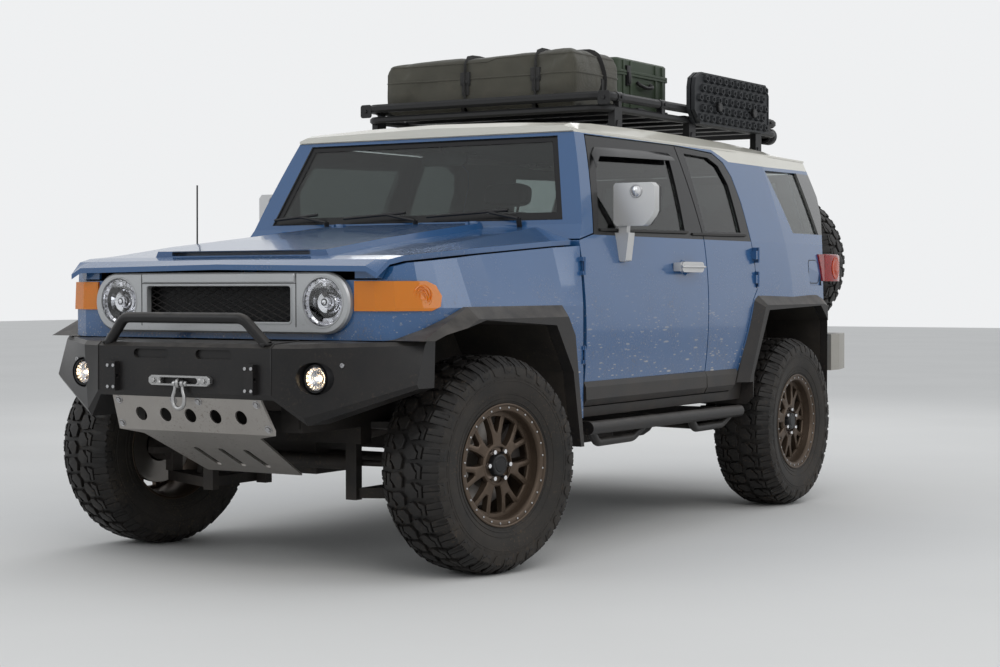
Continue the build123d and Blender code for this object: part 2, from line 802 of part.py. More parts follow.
with BuildPart() as body_tub:
    add(cabin_wall.part)
    add(side_prism(FLOOR, -850, 850))
    add(cabin_outer, mode=Mode.INTERSECT)
    add(above_roof_edge, mode=Mode.SUBTRACT)
    add(side_openings.part, mode=Mode.SUBTRACT)
    add(front_prism(TAILGATE, REAR_FACE_D - 200, REAR_FACE_D + 60, grow=SHUT), mode=Mode.SUBTRACT)
    add(front_prism(WINDSHIELD, FIREWALL_D, 1000), mode=Mode.SUBTRACT)
    add(both_sides(side_prism(TAIL_LAMP, 700, 1000, grow=FIT)), mode=Mode.SUBTRACT)
    add(side_prism(FUEL_FLAP, 880, 1000), mode=Mode.SUBTRACT)
    add(block(-640, 640, FIREWALL_D - 10, REAR_FACE_D + 20, SILL_Z - 20, 588), mode=Mode.SUBTRACT)
    add(block(-440, 440, REAR_FACE_D - 90, REAR_FACE_D + 20, SILL_Z, 684), mode=Mode.SUBTRACT)
    for z in REAR_HINGES_Z:
        add(both_sides(hinge_room(DOOR_HINGE_X, REAR_HINGE_D, z, EYE_HIGH)), mode=Mode.SUBTRACT)
    for z in REAR_HINGES_Z:
        add(both_sides(hinge_fixed(DOOR_HINGE_X, REAR_HINGE_D, z, 1)))
    for z in TAILGATE_HINGES_Z:
        add(upright(TAILGATE_HINGE_X, TAILGATE_HINGE_D, 14, z - EYE_HIGH / 2 - FIT, z + EYE_HIGH / 2 + FIT),
            mode=Mode.SUBTRACT)
        for low in (z - EYE_HIGH / 2 - FIT - EAR_HIGH, z + EYE_HIGH / 2 + FIT):
            add(upright(TAILGATE_HINGE_X, TAILGATE_HINGE_D, EYE_R, low, low + EAR_HIGH))
            add(block(TAILGATE_HINGE_X - 20, TAILGATE_HINGE_X, REAR_FACE_D - 20, TAILGATE_HINGE_D + EYE_R - 2,
                      low, low + EAR_HIGH))
        add(upright(TAILGATE_HINGE_X, TAILGATE_HINGE_D, PIN_R, z - EYE_HIGH / 2 - 1, z + EYE_HIGH / 2 + 1))
    for s in (1, -1):
        with BuildSketch(Plane.YZ.offset(s * HOOD_HINGE_X - 15)):
            with Locations((along(HOOD_END_D), HOOD_HINGE_Z)):
                Circle(8)
                Circle(4 + FIT, mode=Mode.SUBTRACT)
        extrude(amount=30)
        add(block(s * HOOD_HINGE_X - 15, s * HOOD_HINGE_X + 15, HOOD_END_D + 6, WINDSHIELD_FOOT[0] + 14,
                  HOOD_HINGE_Z - 10, HOOD_HINGE_Z + 2))
save(body_tub, "body_tub")


# Roof. d, half width at the eave and height of the crown.
ROOF_STATIONS = (
    (ROOF_FRONT_D, 717, 1768),
    (ROOF_FRONT_D + 45, 719, 1788),
    (ROOF_FRONT_D + 228, 720, 1803),
    (1700, 720, 1814),
    (REAR_DOOR_END_D + 60, 720, 1804),
    (WHEELBASE + 210, 708, 1780),
    (REAR_FACE_D - 22, 673, 1738),
)


def roof_block(inset, base):
    """Solid under the roof's outer surface, its sides and crown moved inward."""
    with BuildPart() as form:
        for d, half, crown in ROOF_STATIONS:
            wide = half - inset
            top = crown - inset
            ends_in = inset if d == ROOF_FRONT_D else (-inset if d == ROOF_STATIONS[-1][0] else 0)
            shoulder = EAVE_Z + 0.62 * (top - EAVE_Z)
            half_outline = [(wide, base), (wide + 1, EAVE_Z + 8), (wide - 42, shoulder), (wide / 2, top - 7)]
            mirrored = [(-x, z) for x, z in reversed(half_outline)]
            with BuildSketch(Plane.XZ.offset(-along(d + ends_in))):
                Polygon(*half_outline, (0, top), *mirrored, align=None)
        loft(ruled=True)
    return form.part


with BuildPart() as roof_panel:
    add(cabin_wall.part)
    add(above_roof_edge, mode=Mode.INTERSECT)
    add(roof_block(0, EAVE_Z - 1))
    add(roof_block(ROOF_SHEET, EAVE_Z - 60), mode=Mode.SUBTRACT)
save(roof_panel, "roof_panel")

# Nose. x and d of the outline low down, then x high up.
NOSE_LOW_Z = 1000
NOSE_HIGH_Z = 1300
NOSE_OUTLINE = (
    (616, NOSE_D, 600),
    (700, NOSE_D + 8, 690),
    (770, NOSE_D + 35, 752),
    (830, -420, 768),
    (864, -328, 775),
    (890, -180, 779),
    (896, 0, 768),
    (897, 500, 819),
    (898, FENDER_END_D, 877),
)


def nose_block(inset):
    """Solid of the outer form of the front panel and fenders, moved inward by the inset."""
    with BuildPart() as form:
        for z, column in ((SILL_Z, 0), (NOSE_LOW_Z, 0), (NOSE_HIGH_Z, 2)):
            half_outline = []
            for row in NOSE_OUTLINE:
                ends_in = inset if row[1] < -500 else 0
                half_outline.append((row[column] - inset, along(row[1] + ends_in)))
            mirrored = [(-x, y) for x, y in reversed(half_outline)]
            with BuildSketch(Plane.XY.offset(z)):
                Polygon(*half_outline, *mirrored, align=None)
        loft(ruled=True)
    return form.part


# Hood. d, then x and height at the middle, shoulder and edge.
HOOD_STATIONS = (
    (NOSE_D - 32, 1162, 690, 1152, 738, 1128),
    (NOSE_D + 30, 1180, 690, 1177, 752, 1176),
    (-440, 1194, 690, 1192, 766, 1190),
    (-21, 1246, 705, 1244, 800, 1222),
    (500, 1303, 660, 1300, 830, 1258),
    (HOOD_END_D, 1325, 659, 1322, 848, 1268),
)
HOOD_CUT = 26

# Raised middle of the hood. d, height of the sheet and half width.
HOOD_PAD = (
    (SCOOP_D, 1194, 410),
    (-21, 1246, 398),
    (500, 1303, 389),
    (HOOD_END_D, 1322, 387),
)
nose_outer = nose_block(0)
with BuildPart() as nose_wall:
    add(nose_outer)
    add(nose_block(FENDER_WALL), mode=Mode.SUBTRACT)
    add(block(-700, 700, FENDER_END_D - 20, FENDER_END_D + 20, 0, FAR), mode=Mode.SUBTRACT)

# Top line of the fender, kept below the hood's edge
FENDER_TOP = (
    (NOSE_D - 60, 1102),
    (NOSE_D + 26, 1102),
    (NOSE_D + 40, 1176 - HOOD_CUT),
    (-440, 1190 - HOOD_CUT),
    (-21, 1222 - HOOD_CUT),
    (500, 1258 - HOOD_CUT),
    (FENDER_END_D + 1, 1267 - HOOD_CUT),
)
HOOD_APRON = (
    (NOSE_D - 60, 1108),
    (NOSE_D + 20, 1108),
    (NOSE_D + 32, 1160),
    (NOSE_D - 60, 1150),
)
with BuildPart() as hood:
    for d, z_mid, x_shoulder, z_shoulder, x_edge, z_edge in HOOD_STATIONS:
        top_line = [(x_shoulder, z_shoulder), (x_edge, z_edge)]
        crown = [(-x, z) for x, z in reversed(top_line)] + [(0, z_mid)] + top_line
        with BuildSketch(Plane.XZ.offset(-along(d))):
            Polygon(*crown, *[(x, z - HOOD_SHEET) for x, z in reversed(crown)], align=None)
    loft(ruled=True)
    for d, z_mid, x_pad in HOOD_PAD:
        pad_half = [(x_pad + 18, z_mid - 12), (x_pad + 12, z_mid), (x_pad, z_mid + PAD_UP)]
        with BuildSketch(Plane.XZ.offset(-along(d))):
            Polygon(*pad_half, *[(-x, z) for x, z in reversed(pad_half)], align=None)
    loft(ruled=True)
    with BuildSketch(Plane.XZ.offset(-along(SCOOP_D + 45))):
        with Locations((0, 1194 + PAD_UP / 2)):
            RectangleRounded(2 * SCOOP_HALF, PAD_UP - 8, 5)
    extrude(amount=60, mode=Mode.SUBTRACT)
    rear_corner = ((659, HOOD_END_D + 2), (900, HOOD_END_D + 2), (900, FIREWALL_D - 40))
    add(both_sides(plan_prism(rear_corner, 0, FAR)), mode=Mode.SUBTRACT)
    for s in (1, -1):
        x = s * HOOD_HINGE_X
        add(block(x - 30, x + 30, HOOD_END_D - 14, HOOD_END_D + 10, HOOD_HINGE_Z - 13, FAR),
            mode=Mode.SUBTRACT)
        add(tube(((x - 31, HOOD_END_D, HOOD_HINGE_Z), (x + 31, HOOD_END_D, HOOD_HINGE_Z)), 8, 0))
        for side in (x - 32, x + 17):
            add(block(side, side + 15, HOOD_END_D - 16, HOOD_END_D + 5, HOOD_HINGE_Z - 16, HOOD_HINGE_Z + 5))
with BuildPart() as hood_whole:
    add(nose_wall.part)
    add(side_prism(HOOD_APRON, -900, 900), mode=Mode.INTERSECT)
    add(block(-GRILLE_HALF - 4, GRILLE_HALF + 4, NOSE_D - 60, NOSE_D + 60, 0, 1142), mode=Mode.SUBTRACT)
    add(hood.part)
save(hood_whole, "hood")

SIGNAL = (
    (NOSE_D - 60, LAMP_Z - 32),
    (-384, LAMP_Z - 32),
    (-346, LAMP_Z - 16),
    (-330, LAMP_Z + 22),
    (-346, LAMP_Z + 60),
    (-384, LAMP_Z + 76),
    (NOSE_D - 60, LAMP_Z + 76),
)
signal_half = side_prism(SIGNAL, GRILLE_HALF + 6, 1000)
with BuildPart() as turn_signals:
    add(nose_block(-7))
    add(nose_block(18), mode=Mode.SUBTRACT)
    add(both_sides(signal_half), mode=Mode.INTERSECT)
save(turn_signals, "turn_signals")

with BuildPart() as front_fenders:
    add(nose_wall.part)
    above = FENDER_TOP + ((FENDER_END_D + 1, FAR), (NOSE_D - 60, FAR))
    add(side_prism(above, -FAR, FAR), mode=Mode.SUBTRACT)
    add(both_sides(side_prism(FRONT_ARCH, LINER_FRONT_X, 1000, grow=5 + FIT)), mode=Mode.SUBTRACT)
    add(block(-FAR, FAR, NOSE_D - 60, NOSE_D + 60, 0, 884), mode=Mode.SUBTRACT)
    add(both_sides(side_prism(SIGNAL, GRILLE_HALF + 4, 1000, grow=FIT)), mode=Mode.SUBTRACT)
    with BuildSketch(Plane.XZ.offset(-along(NOSE_D + 40))):
        with Locations((0, MESH_Z)):
            RectangleRounded(2 * MESH_HALF, MESH_HIGH, 12)
        with Locations((LAMP_X, LAMP_Z), (-LAMP_X, LAMP_Z)):
            Circle(LAMP_R)
    extrude(amount=80, mode=Mode.SUBTRACT)
    add(both_sides(block(APRON_X - 8, APRON_X, NOSE_D + 6, FIREWALL_D - FIT, APRON_Z, APRON_Z + 130)))
    for hinge_z in FRONT_HINGES_Z:
        add(both_sides(hinge_fixed(DOOR_HINGE_X, FRONT_HINGE_D, hinge_z, -1)))
save(front_fenders, "front_fenders")

# Grille surround, mesh and lamps
MESH_CELL = ((-24, 0), (-14, 12), (14, 12), (24, 0), (14, -12), (-14, -12))
with BuildPart() as grille_surround:
    with BuildSketch(Plane.XZ.offset(-along(NOSE_D - FIT))):
        with Locations((0, GRILLE_Z)):
            SlotOverall(2 * GRILLE_HALF, GRILLE_HIGH)
    extrude(amount=GRILLE_DEEP)
    chamfer(faces().sort_by(Axis.Y)[0].edges(), 7)
    with BuildSketch(Plane.XZ.offset(-along(NOSE_D))):
        with Locations((0, MESH_Z)):
            RectangleRounded(2 * MESH_HALF, MESH_HIGH, 12)
        with Locations((LAMP_X, LAMP_Z), (-LAMP_X, LAMP_Z)):
            Circle(LAMP_R)
    extrude(amount=60, mode=Mode.SUBTRACT)
save(grille_surround, "grille_surround")
with BuildPart() as grille_mesh:
    with BuildSketch(Plane.XZ.offset(-along(NOSE_D + 6))):
        with Locations((0, MESH_Z)):
            RectangleRounded(2 * (MESH_HALF - FIT), MESH_HIGH - 2 * FIT, 12 - FIT)
        for row in range(MESH_ROWS):
            z = MESH_Z + (row - (MESH_ROWS - 1) / 2) * MESH_PITCH_Z
            shift = MESH_PITCH_X / 2 if row % 2 else 0
            count = MESH_COLUMNS - (row % 2)
            for column in range(count):
                x = (column - (MESH_COLUMNS - 1) / 2) * MESH_PITCH_X + shift
                with Locations((x, z)):
                    Polygon(*MESH_CELL, mode=Mode.SUBTRACT)
    extrude(amount=8)
save(grille_mesh, "grille_mesh")
with BuildPart() as front_lamps:
    with BuildSketch(Plane.XZ.offset(-along(NOSE_D + 14))):
        with Locations((LAMP_X, LAMP_Z), (-LAMP_X, LAMP_Z)):
            Circle(LAMP_R - FIT)
    extrude(amount=36)
    chamfer(faces().group_by(Axis.Y)[0].edges(), 10)
    with BuildSketch(Plane.XZ.offset(-along(FOG_D - FIT))):
        with Locations((FOG_X, FOG_Z), (-FOG_X, FOG_Z)):
            Circle(FOG_R)
    extrude(amount=28)
save(front_lamps, "front_lamps")

# Front bumper. x, then its section as (d, height).
BUMPER_STATIONS = (
    (BUMPER_FLAT, ((-600, 672), (-752, 672), (-765, 690), (-765, 858), (-748, 872), (-600, 880))),
    (520, ((-560, 582), (-690, 582), (-712, 610), (-728, 858), (-712, 874), (-560, 882))),
    (871, ((-402, 714), (-500, 714), (-512, 730), (-462, 868), (-450, 882), (-395, 882))),
)
with BuildPart() as bumper_half:
    for x, section in ((0, BUMPER_STATIONS[0][1]),) + BUMPER_STATIONS:
        with BuildSketch(Plane.YZ.offset(x)):
            Polygon(*[(along(d), z) for d, z in section], align=None)
    loft(ruled=True)
hoop = tube(
    ((HOOP_X, -742, 868), (HOOP_X - 95, -760, 965), (-HOOP_X + 95, -760, 965), (-HOOP_X, -742, 868)), 40, 60
)
with BuildPart() as front_bumper:
    add(both_sides(bumper_half.part))
    with BuildSketch(Plane.XZ.offset(-along(-753))):
        with Locations((150, 832), (-150, 832)):
            SlotOverall(170, 34)
    extrude(amount=30, mode=Mode.SUBTRACT)
    with BuildSketch(Plane.XZ.offset(-along(FOG_D))):
        with Locations((FOG_X, FOG_Z), (-FOG_X, FOG_Z)):
            Circle(FOG_R + 14)
    extrude(amount=200, mode=Mode.SUBTRACT)
    add(hoop)
    add(both_sides(block(RECOVERY_X - 20, RECOVERY_X + 20, -788, -760, 690, 800)))
    with BuildSketch(Plane.YZ.offset(-BUMPER_FLAT)):
        with Locations((along(-776), 745)):
            Circle(RECOVERY_R)
    extrude(amount=2 * BUMPER_FLAT, mode=Mode.SUBTRACT)
save(front_bumper, "front_bumper")

with BuildPart() as winch_fairlead:
    with BuildSketch(Plane.XZ.offset(-along(-765 - FIT))):
        with Locations((0, 735)):
            SlotOverall(294, 69)
            SlotOverall(200, 22, mode=Mode.SUBTRACT)
    extrude(amount=FRONT_OVERHANG - 765 - FIT)
    add(tube(((-22, -779, 716), (-24, -779, 640), (24, -779, 640), (22, -779, 716)), 14, 22))
save(winch_fairlead, "winch_fairlead")

# Skid plate: a drilled upper face and a slotted lower one that runs back under the engine.
# The section is (d, height) and the plan is (x, d).
SKID_SECTION = (
    (-751, 672 - FIT),
    (-690, 540),
    (-350, 362),
    (-347, 368),
    (-684, 546),
    (-744, 672 - FIT),
)
SKID_PLAN = ((352, -760), (377, -690), (280, -660), (230, -340))
with BuildPart() as skid_plate:
    add(side_prism(SKID_SECTION, -380, 380))
    add(plan_prism(SKID_PLAN + tuple((-x, d) for x, d in reversed(SKID_PLAN)), 300, 700), mode=Mode.INTERSECT)
    with BuildSketch(Plane.XZ.offset(-along(-600))):
        with Locations(*[(x, 603) for x in (-240, -120, 0, 120, 240)]):
            Circle(26)
    extrude(amount=300, mode=Mode.SUBTRACT)
    with BuildSketch(Plane.XY.offset(300)):
        with Locations(*[(x, along(-480)) for x in (-120, 0, 120)]):
            SlotOverall(150, 26, rotation=90)
    extrude(amount=300, mode=Mode.SUBTRACT)
save(skid_plate, "skid_plate")

# Wheel flares: a bevelled ring around each arch, shaped to the body behind it.
FRONT_FLARE = (
    (-560, 380),
    (-552, 870),
    (-225, 1003),
    (466, 1003),
    (540, 900),
    (612, 437),
    (612, 380),
)
REAR_FLARE = (
    (WHEELBASE - 588, 520),
    (WHEELBASE - 588, 626),
    (WHEELBASE - 385, 1010),
    (WHEELBASE - 340, 1031),
    (WHEELBASE + 380, 1031),
    (WHEELBASE + 464, 1010),
    (WHEELBASE + 468, 443),
    (WHEELBASE + 468, 380),
)


def flare(outline, arch, low_front, low_rear, body):
    with BuildPart() as ring:
        with BuildSketch(Plane.YZ.offset(BODY_SIDE_X)):
            Polygon(*[(along(d), z) for d, z in outline], align=None)
        extrude(amount=FLARE_OUT, taper=45)
        add(side_prism(outline, 600, BODY_SIDE_X))
        add(side_prism(arch, 500, 1100), mode=Mode.SUBTRACT)
        add(body, mode=Mode.SUBTRACT)
        middle = (arch[0][0] + arch[-1][0]) / 2
        add(block(500, 1100, -FAR, middle, 0, low_front), mode=Mode.SUBTRACT)
        add(block(500, 1100, middle, FAR, 0, low_rear), mode=Mode.SUBTRACT)
    return ring.part


front_flare = flare(FRONT_FLARE, FRONT_ARCH, 884 + FIT, 437, nose_block(-FIT))
rear_flare = flare(REAR_FLARE, REAR_ARCH, 626, 443, cabin_block(-FIT))
with BuildPart() as wheel_flares:
    add(both_sides(front_flare))
    add(both_sides(rear_flare))
save(wheel_flares, "wheel_flares")


# Wheel liners: a pan over each wheel, open below, its inner wall only above the frame
def liner(arch, inner_x, wall_z, keep):
    with BuildPart() as pan:
        add(side_prism(arch, inner_x - 6, 900, grow=5))
        add(side_prism(arch, inner_x, 1000), mode=Mode.SUBTRACT)
        add(block(inner_x - 10, inner_x + 1, -FAR, FAR, 0, wall_z), mode=Mode.SUBTRACT)
        add(block(0, 1000, -FAR, FAR, 0, SILL_Z + 1), mode=Mode.SUBTRACT)
        add(keep, mode=Mode.INTERSECT)
    return pan.part


with BuildPart() as wheel_liners:
    add(both_sides(liner(FRONT_ARCH, LINER_FRONT_X + 6, 668, nose_block(1))))
    add(both_sides(liner(REAR_ARCH, LINER_X, 560, cabin_block(1))))
    for shift in (0, 1):
        add(both_sides(bumper_half.part).moved(Location((0, shift, 0))), mode=Mode.SUBTRACT)
save(wheel_liners, "wheel_liners")

# Ladder frame. d, then the height of each rail's bottom and top.
RAIL_STATIONS = (
    (-590, 545, 645),
    (250, 545, 645),
    (640, 455, 575),
    (REAR_STEP_D - 20, 455, 575),
    (WHEELBASE - 250, 600, 715),
    (WHEELBASE + 230, 600, 715),
    (WHEELBASE + 420, 575, 680),
    (REAR_FACE_D - 80, 575, 680),
)
# d at the front and rear, then heights and half width of each cross member
CROSS_MEMBERS = (
    (-560, -490, 555, 615, RAIL_IN),
    (-230, -160, 480, 545, RAIL_OUT),
    (700, 770, 375, 430, RAIL_OUT),
    (1180, 1260, 400, 458 - FIT, RAIL_OUT),
    (REAR_STEP_D - 25, REAR_STEP_D + 35, 540, 586, RAIL_IN),
    (WHEELBASE - 240, WHEELBASE - 180, 610, 680, RAIL_IN),
    (REAR_FACE_D - 150, REAR_FACE_D - 80, 590, 660, RAIL_IN),
)
# Brackets on each rail: x and d at both ends, then heights
RAIL_BRACKETS = (
    (RAIL_IN, RAIL_OUT - 10, -600 + FIT, -520, 560, 710),
    (RAIL_IN, RAIL_IN + 50, -205, -168, 262, 546),
    (RAIL_IN, RAIL_IN + 50, 132, 172, 262, 546),
    (RAIL_OUT - 40, RAIL_OUT, -55, 55, 640, COIL_TOP_Z + 12),
    (RAIL_OUT - 40, COIL_TOP_X, -55, 55, COIL_TOP_Z, COIL_TOP_Z + 12),
    (RAIL_IN, RAIL_OUT, 700, 770, 425, 460),
    (RAIL_IN + 18, RAIL_IN + 72, 2000, 2036, 402, 460),
    (RAIL_OUT - 1, SPRING_X + 60, WHEELBASE - 60, WHEELBASE + 60, 688, 700),
)
rail_top = [(d, top) for d, _, top in RAIL_STATIONS]
rail_bottom = [(d, low) for d, low, _ in reversed(RAIL_STATIONS)]
with BuildPart() as frame_half:
    add(side_prism(rail_top + rail_bottom, RAIL_IN, RAIL_OUT))
    for x0, x1, d0, d1, low, top in RAIL_BRACKETS:
        add(block(x0, x1, d0, d1, low, top))
with BuildPart() as ladder_frame:
    add(both_sides(frame_half.part))
    for d0, d1, low, top, half in CROSS_MEMBERS:
        add(block(-half, half, d0, d1, low, top))
save(ladder_frame, "ladder_frame")

with BuildPart() as engine_block:
    add(block(-230, 230, -150, 330, 560, 1060))
save(engine_block, "engine_block")
with BuildPart() as drivetrain:
    with BuildSketch(Plane.XZ.offset(-along(330 + FIT))):
        with Locations((0, 640)):
            RectangleRounded(300, 290, 60)
    with BuildSketch(Plane.XZ.offset(-along(640))):
        with Locations((0, 522)):
            RectangleRounded(220, 124, 40)
    loft(ruled=True)
    add(block(-100, 100, 640, 1160, 460, 584))
    add(block(-190, 110, 1160, 1420, 458, 584))
    add(tube(((0, 1419, 520), (0, WHEELBASE - 118.6, 420)), 72, 0))
    add(tube(((-140, 1161, 500), (-110, 119.6, 415)), 56, 0))
save(drivetrain, "drivetrain")
EXHAUST_TAIL = (
    (-240, 2180, 500),
    (-240, WHEELBASE - 320, 530),
    (-240, WHEELBASE - 180, 568),
    (-240, WHEELBASE + 200, 568),
    (-300, WHEELBASE + 420, 520),
    (-560, REAR_FACE_D - 60, 500),
)
with BuildPart() as exhaust:
    add(tube(((-260, 780, 500), (-260, 1620, 500)), 56, 0))
    add(tube(EXHAUST_TAIL, 52, 60))
    with BuildSketch(Plane.XZ.offset(-along(2200))):
        with Locations((-RAIL_IN + FIT + 85, 500)):
            SlotOverall(170, 120)
    extrude(amount=600)
save(exhaust, "exhaust")
with BuildPart() as fuel_tank:
    with BuildSketch(Plane.XY.offset(350)):
        with Locations((RAIL_IN - FIT - 125, along(1700))):
            RectangleRounded(250, 540, 40)
    extrude(amount=200)
save(fuel_tank, "fuel_tank")

# Front suspension: drive, rack, and two wishbones and a coil on each side
def wishbone(inner_x, inner_half, low, high, opening):
    """Triangular arm from the frame out to its ball joint."""
    with BuildPart() as arm:
        with BuildSketch(Plane.XY.offset(low)):
            near = [(inner_x, along(-inner_half)), (inner_x, along(inner_half))]
            with BuildLine():
                Polyline(*near, (KINGPIN_X, along(26)), (KINGPIN_X, along(-26)), close=True)
            make_face()
            with Locations((KINGPIN_X, along(0))):
                Circle(27)
            with BuildLine():
                Polyline(*[(x, along(d)) for x, d in opening], close=True)
            make_face(mode=Mode.SUBTRACT)
        extrude(amount=high - low)
    return arm.part


def coil(x_low, z_low, x_high, z_high, radius):
    """Damper with a ribbed sleeve for its spring."""
    foot = (x_low, along(0), z_low)
    lean = Plane(origin=foot, x_dir=(0, 1, 0), z_dir=(x_high - x_low, 0, z_high - z_low))
    length = sqrt((x_high - x_low) ** 2 + (z_high - z_low) ** 2)
    with BuildPart() as strut:
        with BuildSketch(lean):
            RegularPolygon(24, 12)
        extrude(amount=length)
        for k in range(COIL_TURNS):
            with BuildSketch(lean.offset(length * (0.18 + 0.72 * k / (COIL_TURNS - 1)))):
                RegularPolygon(radius, 12)
            extrude(amount=14)
    return strut.part


LOWER_OPENING = ((420, -110), (420, 110), (560, 48), (560, -48))
UPPER_OPENING = ((440, -122), (440, 122), (600, 52), (600, -52))
with BuildPart() as front_suspension:
    add(wishbone(RAIL_IN + 50 + FIT, 185, 268, ARM_LOW_Z, LOWER_OPENING))
    add(wishbone(RAIL_OUT + FIT, 165, ARM_HIGH_Z, 562, UPPER_OPENING))
    add(coil(COIL_X, ARM_LOW_Z - 2, COIL_TOP_X - 45, COIL_TOP_Z - 6, 46))
    add(block(RAIL_IN + 50 + FIT, COIL_X + 30, -24, 24, 270, ARM_LOW_Z))
    add(tube(((325, -150, 400), (TIE_END_X, -112, 400)), 24, 0))
    mirror(about=Plane.YZ)
    add(tube(((-330, -150, 400), (330, -150, 400)), 60, 0))
    add(block(-150, 110, -100, 116, 340, 470))
    add(tube(((-KINGPIN_X + 54, 0, AXLE_Z), (KINGPIN_X - 54, 0, AXLE_Z)), 44, 0))
save(front_suspension, "front_suspension")

# Knuckles, shaped straight ahead and then turned about the kingpin
DISC_BACK_X = TRACK_HALF + DISC_X - DISC_THICK / 2
caliper = []
with BuildPart() as knuckle_shape:
    add(block(KINGPIN_X - 22, KINGPIN_X + 26, -26, 26, ARM_LOW_Z + FIT, ARM_HIGH_Z - FIT))
    with BuildSketch(Plane.YZ.offset(KINGPIN_X)):
        with Locations((along(0), AXLE_Z)):
            RegularPolygon(62, 18)
    extrude(amount=DISC_BACK_X - FIT - KINGPIN_X)
    add(block(KINGPIN_X - 28, KINGPIN_X + 12, -128, -20, 388, 412))
    add(block(KINGPIN_X + 10, TRACK_HALF - 22, 20, 150, AXLE_Z + 10, AXLE_Z + 60))
    with BuildSketch(Plane.YZ.offset(DISC_BACK_X - 40)):
        for radius, angles in ((188, (40, 55, 70, 85)), (108, (85, 70, 55, 40))):
            caliper += [polar(radius, 90 - angle) for angle in angles]
        Polygon(*[(along(across), AXLE_Z + up) for across, up in caliper], align=None)
    extrude(amount=40 + DISC_THICK + 26)
    with BuildSketch(Plane.YZ.offset(DISC_BACK_X - 6)):
        with Locations((along(0), AXLE_Z)):
            RegularPolygon(DISC_R + 6, RIM_SIDES)
    extrude(amount=DISC_THICK + 12, mode=Mode.SUBTRACT)
    with BuildSketch(Plane.YZ.offset(KINGPIN_X)):
        with Locations((along(0), AXLE_Z)):
            RegularPolygon(62, 18)
    extrude(amount=DISC_BACK_X - FIT - KINGPIN_X)
    with BuildSketch(Plane.YZ.offset(KINGPIN_X - 60)):
        with Locations((along(0), AXLE_Z)):
            Circle(34)
    extrude(amount=60 + 30, mode=Mode.SUBTRACT)


def turned(shape, kingpin_x):
    """The shape turned about an upright line through the kingpin by the steering at rest."""
    pin = Axis((kingpin_x, along(0), 0), (0, 0, 1))
    return shape.rotate(pin, -STEER_AT_REST)


with BuildPart() as knuckle_left:
    add(turned(knuckle_shape.part, KINGPIN_X))
save(knuckle_left, "knuckle_left")
with BuildPart() as knuckle_right:
    add(turned(knuckle_shape.part.mirror(Plane.YZ), -KINGPIN_X))
save(knuckle_right, "knuckle_right")

# Rear axle with links, springs and dampers
with BuildPart() as rear_axle:
    add(tube(((-700, WHEELBASE, AXLE_Z), (700, WHEELBASE, AXLE_Z)), 84, 0))
    with BuildSketch(Plane.XZ.offset(-along(WHEELBASE + 110))):
        with Locations((0, AXLE_Z)):
            RegularPolygon(120, 16)
    extrude(amount=225)
    for s in (1, -1):
        add(tube(((s * 690, WHEELBASE, AXLE_Z), (s * (DISC_BACK_X - FIT), WHEELBASE, AXLE_Z)), 120, 0))
        add(tube(((s * 375, 2040, 430), (s * 470, WHEELBASE - 40, 372)), 40, 0))
        add(block(s * 450, s * 492, WHEELBASE - 60, WHEELBASE + 30, 352, 420))
        add(block(s * (SPRING_X - 55), s * (SPRING_X + 55), WHEELBASE - 55, WHEELBASE + 55, 440, 456))
        for k in range(COIL_TURNS + 1):
            with BuildSketch(Plane.XY.offset(458 + k * (688 - FIT - 14 - 458) / COIL_TURNS)):
                with Locations((s * SPRING_X, along(WHEELBASE))):
                    RegularPolygon(52, 12)
            extrude(amount=14)
        with BuildSketch(Plane.XY.offset(455)):
            with Locations((s * SPRING_X, along(WHEELBASE))):
                RegularPolygon(26, 8)
        extrude(amount=688 - FIT - 455)
save(rear_axle, "rear_axle")

# Rock sliders: a tube along each sill with a kicked lower hoop, carried by arms from the frame
with BuildPart() as slider_half:
    add(tube(((SLIDER_X, 622, 505), (SLIDER_X, REAR_DOOR_END_D - 275, 497)), 54, 0))
    for d0, d1 in ((652, 1140), (1560, 2010)):
        low_x = SLIDER_X - 26
        hoop = ((low_x + 18, d0, 500), (low_x, d0 + 90, 440), (low_x, d1 - 90, 440), (low_x + 18, d1, 498))
        add(tube(hoop, 36, 60))
    for d in (760, 1320, 1900):
        add(block(RAIL_OUT + FIT, SLIDER_X, d - 22, d + 22, 482, 520))
with BuildPart() as rock_sliders:
    add(both_sides(slider_half.part))
save(rock_sliders, "rock_sliders")

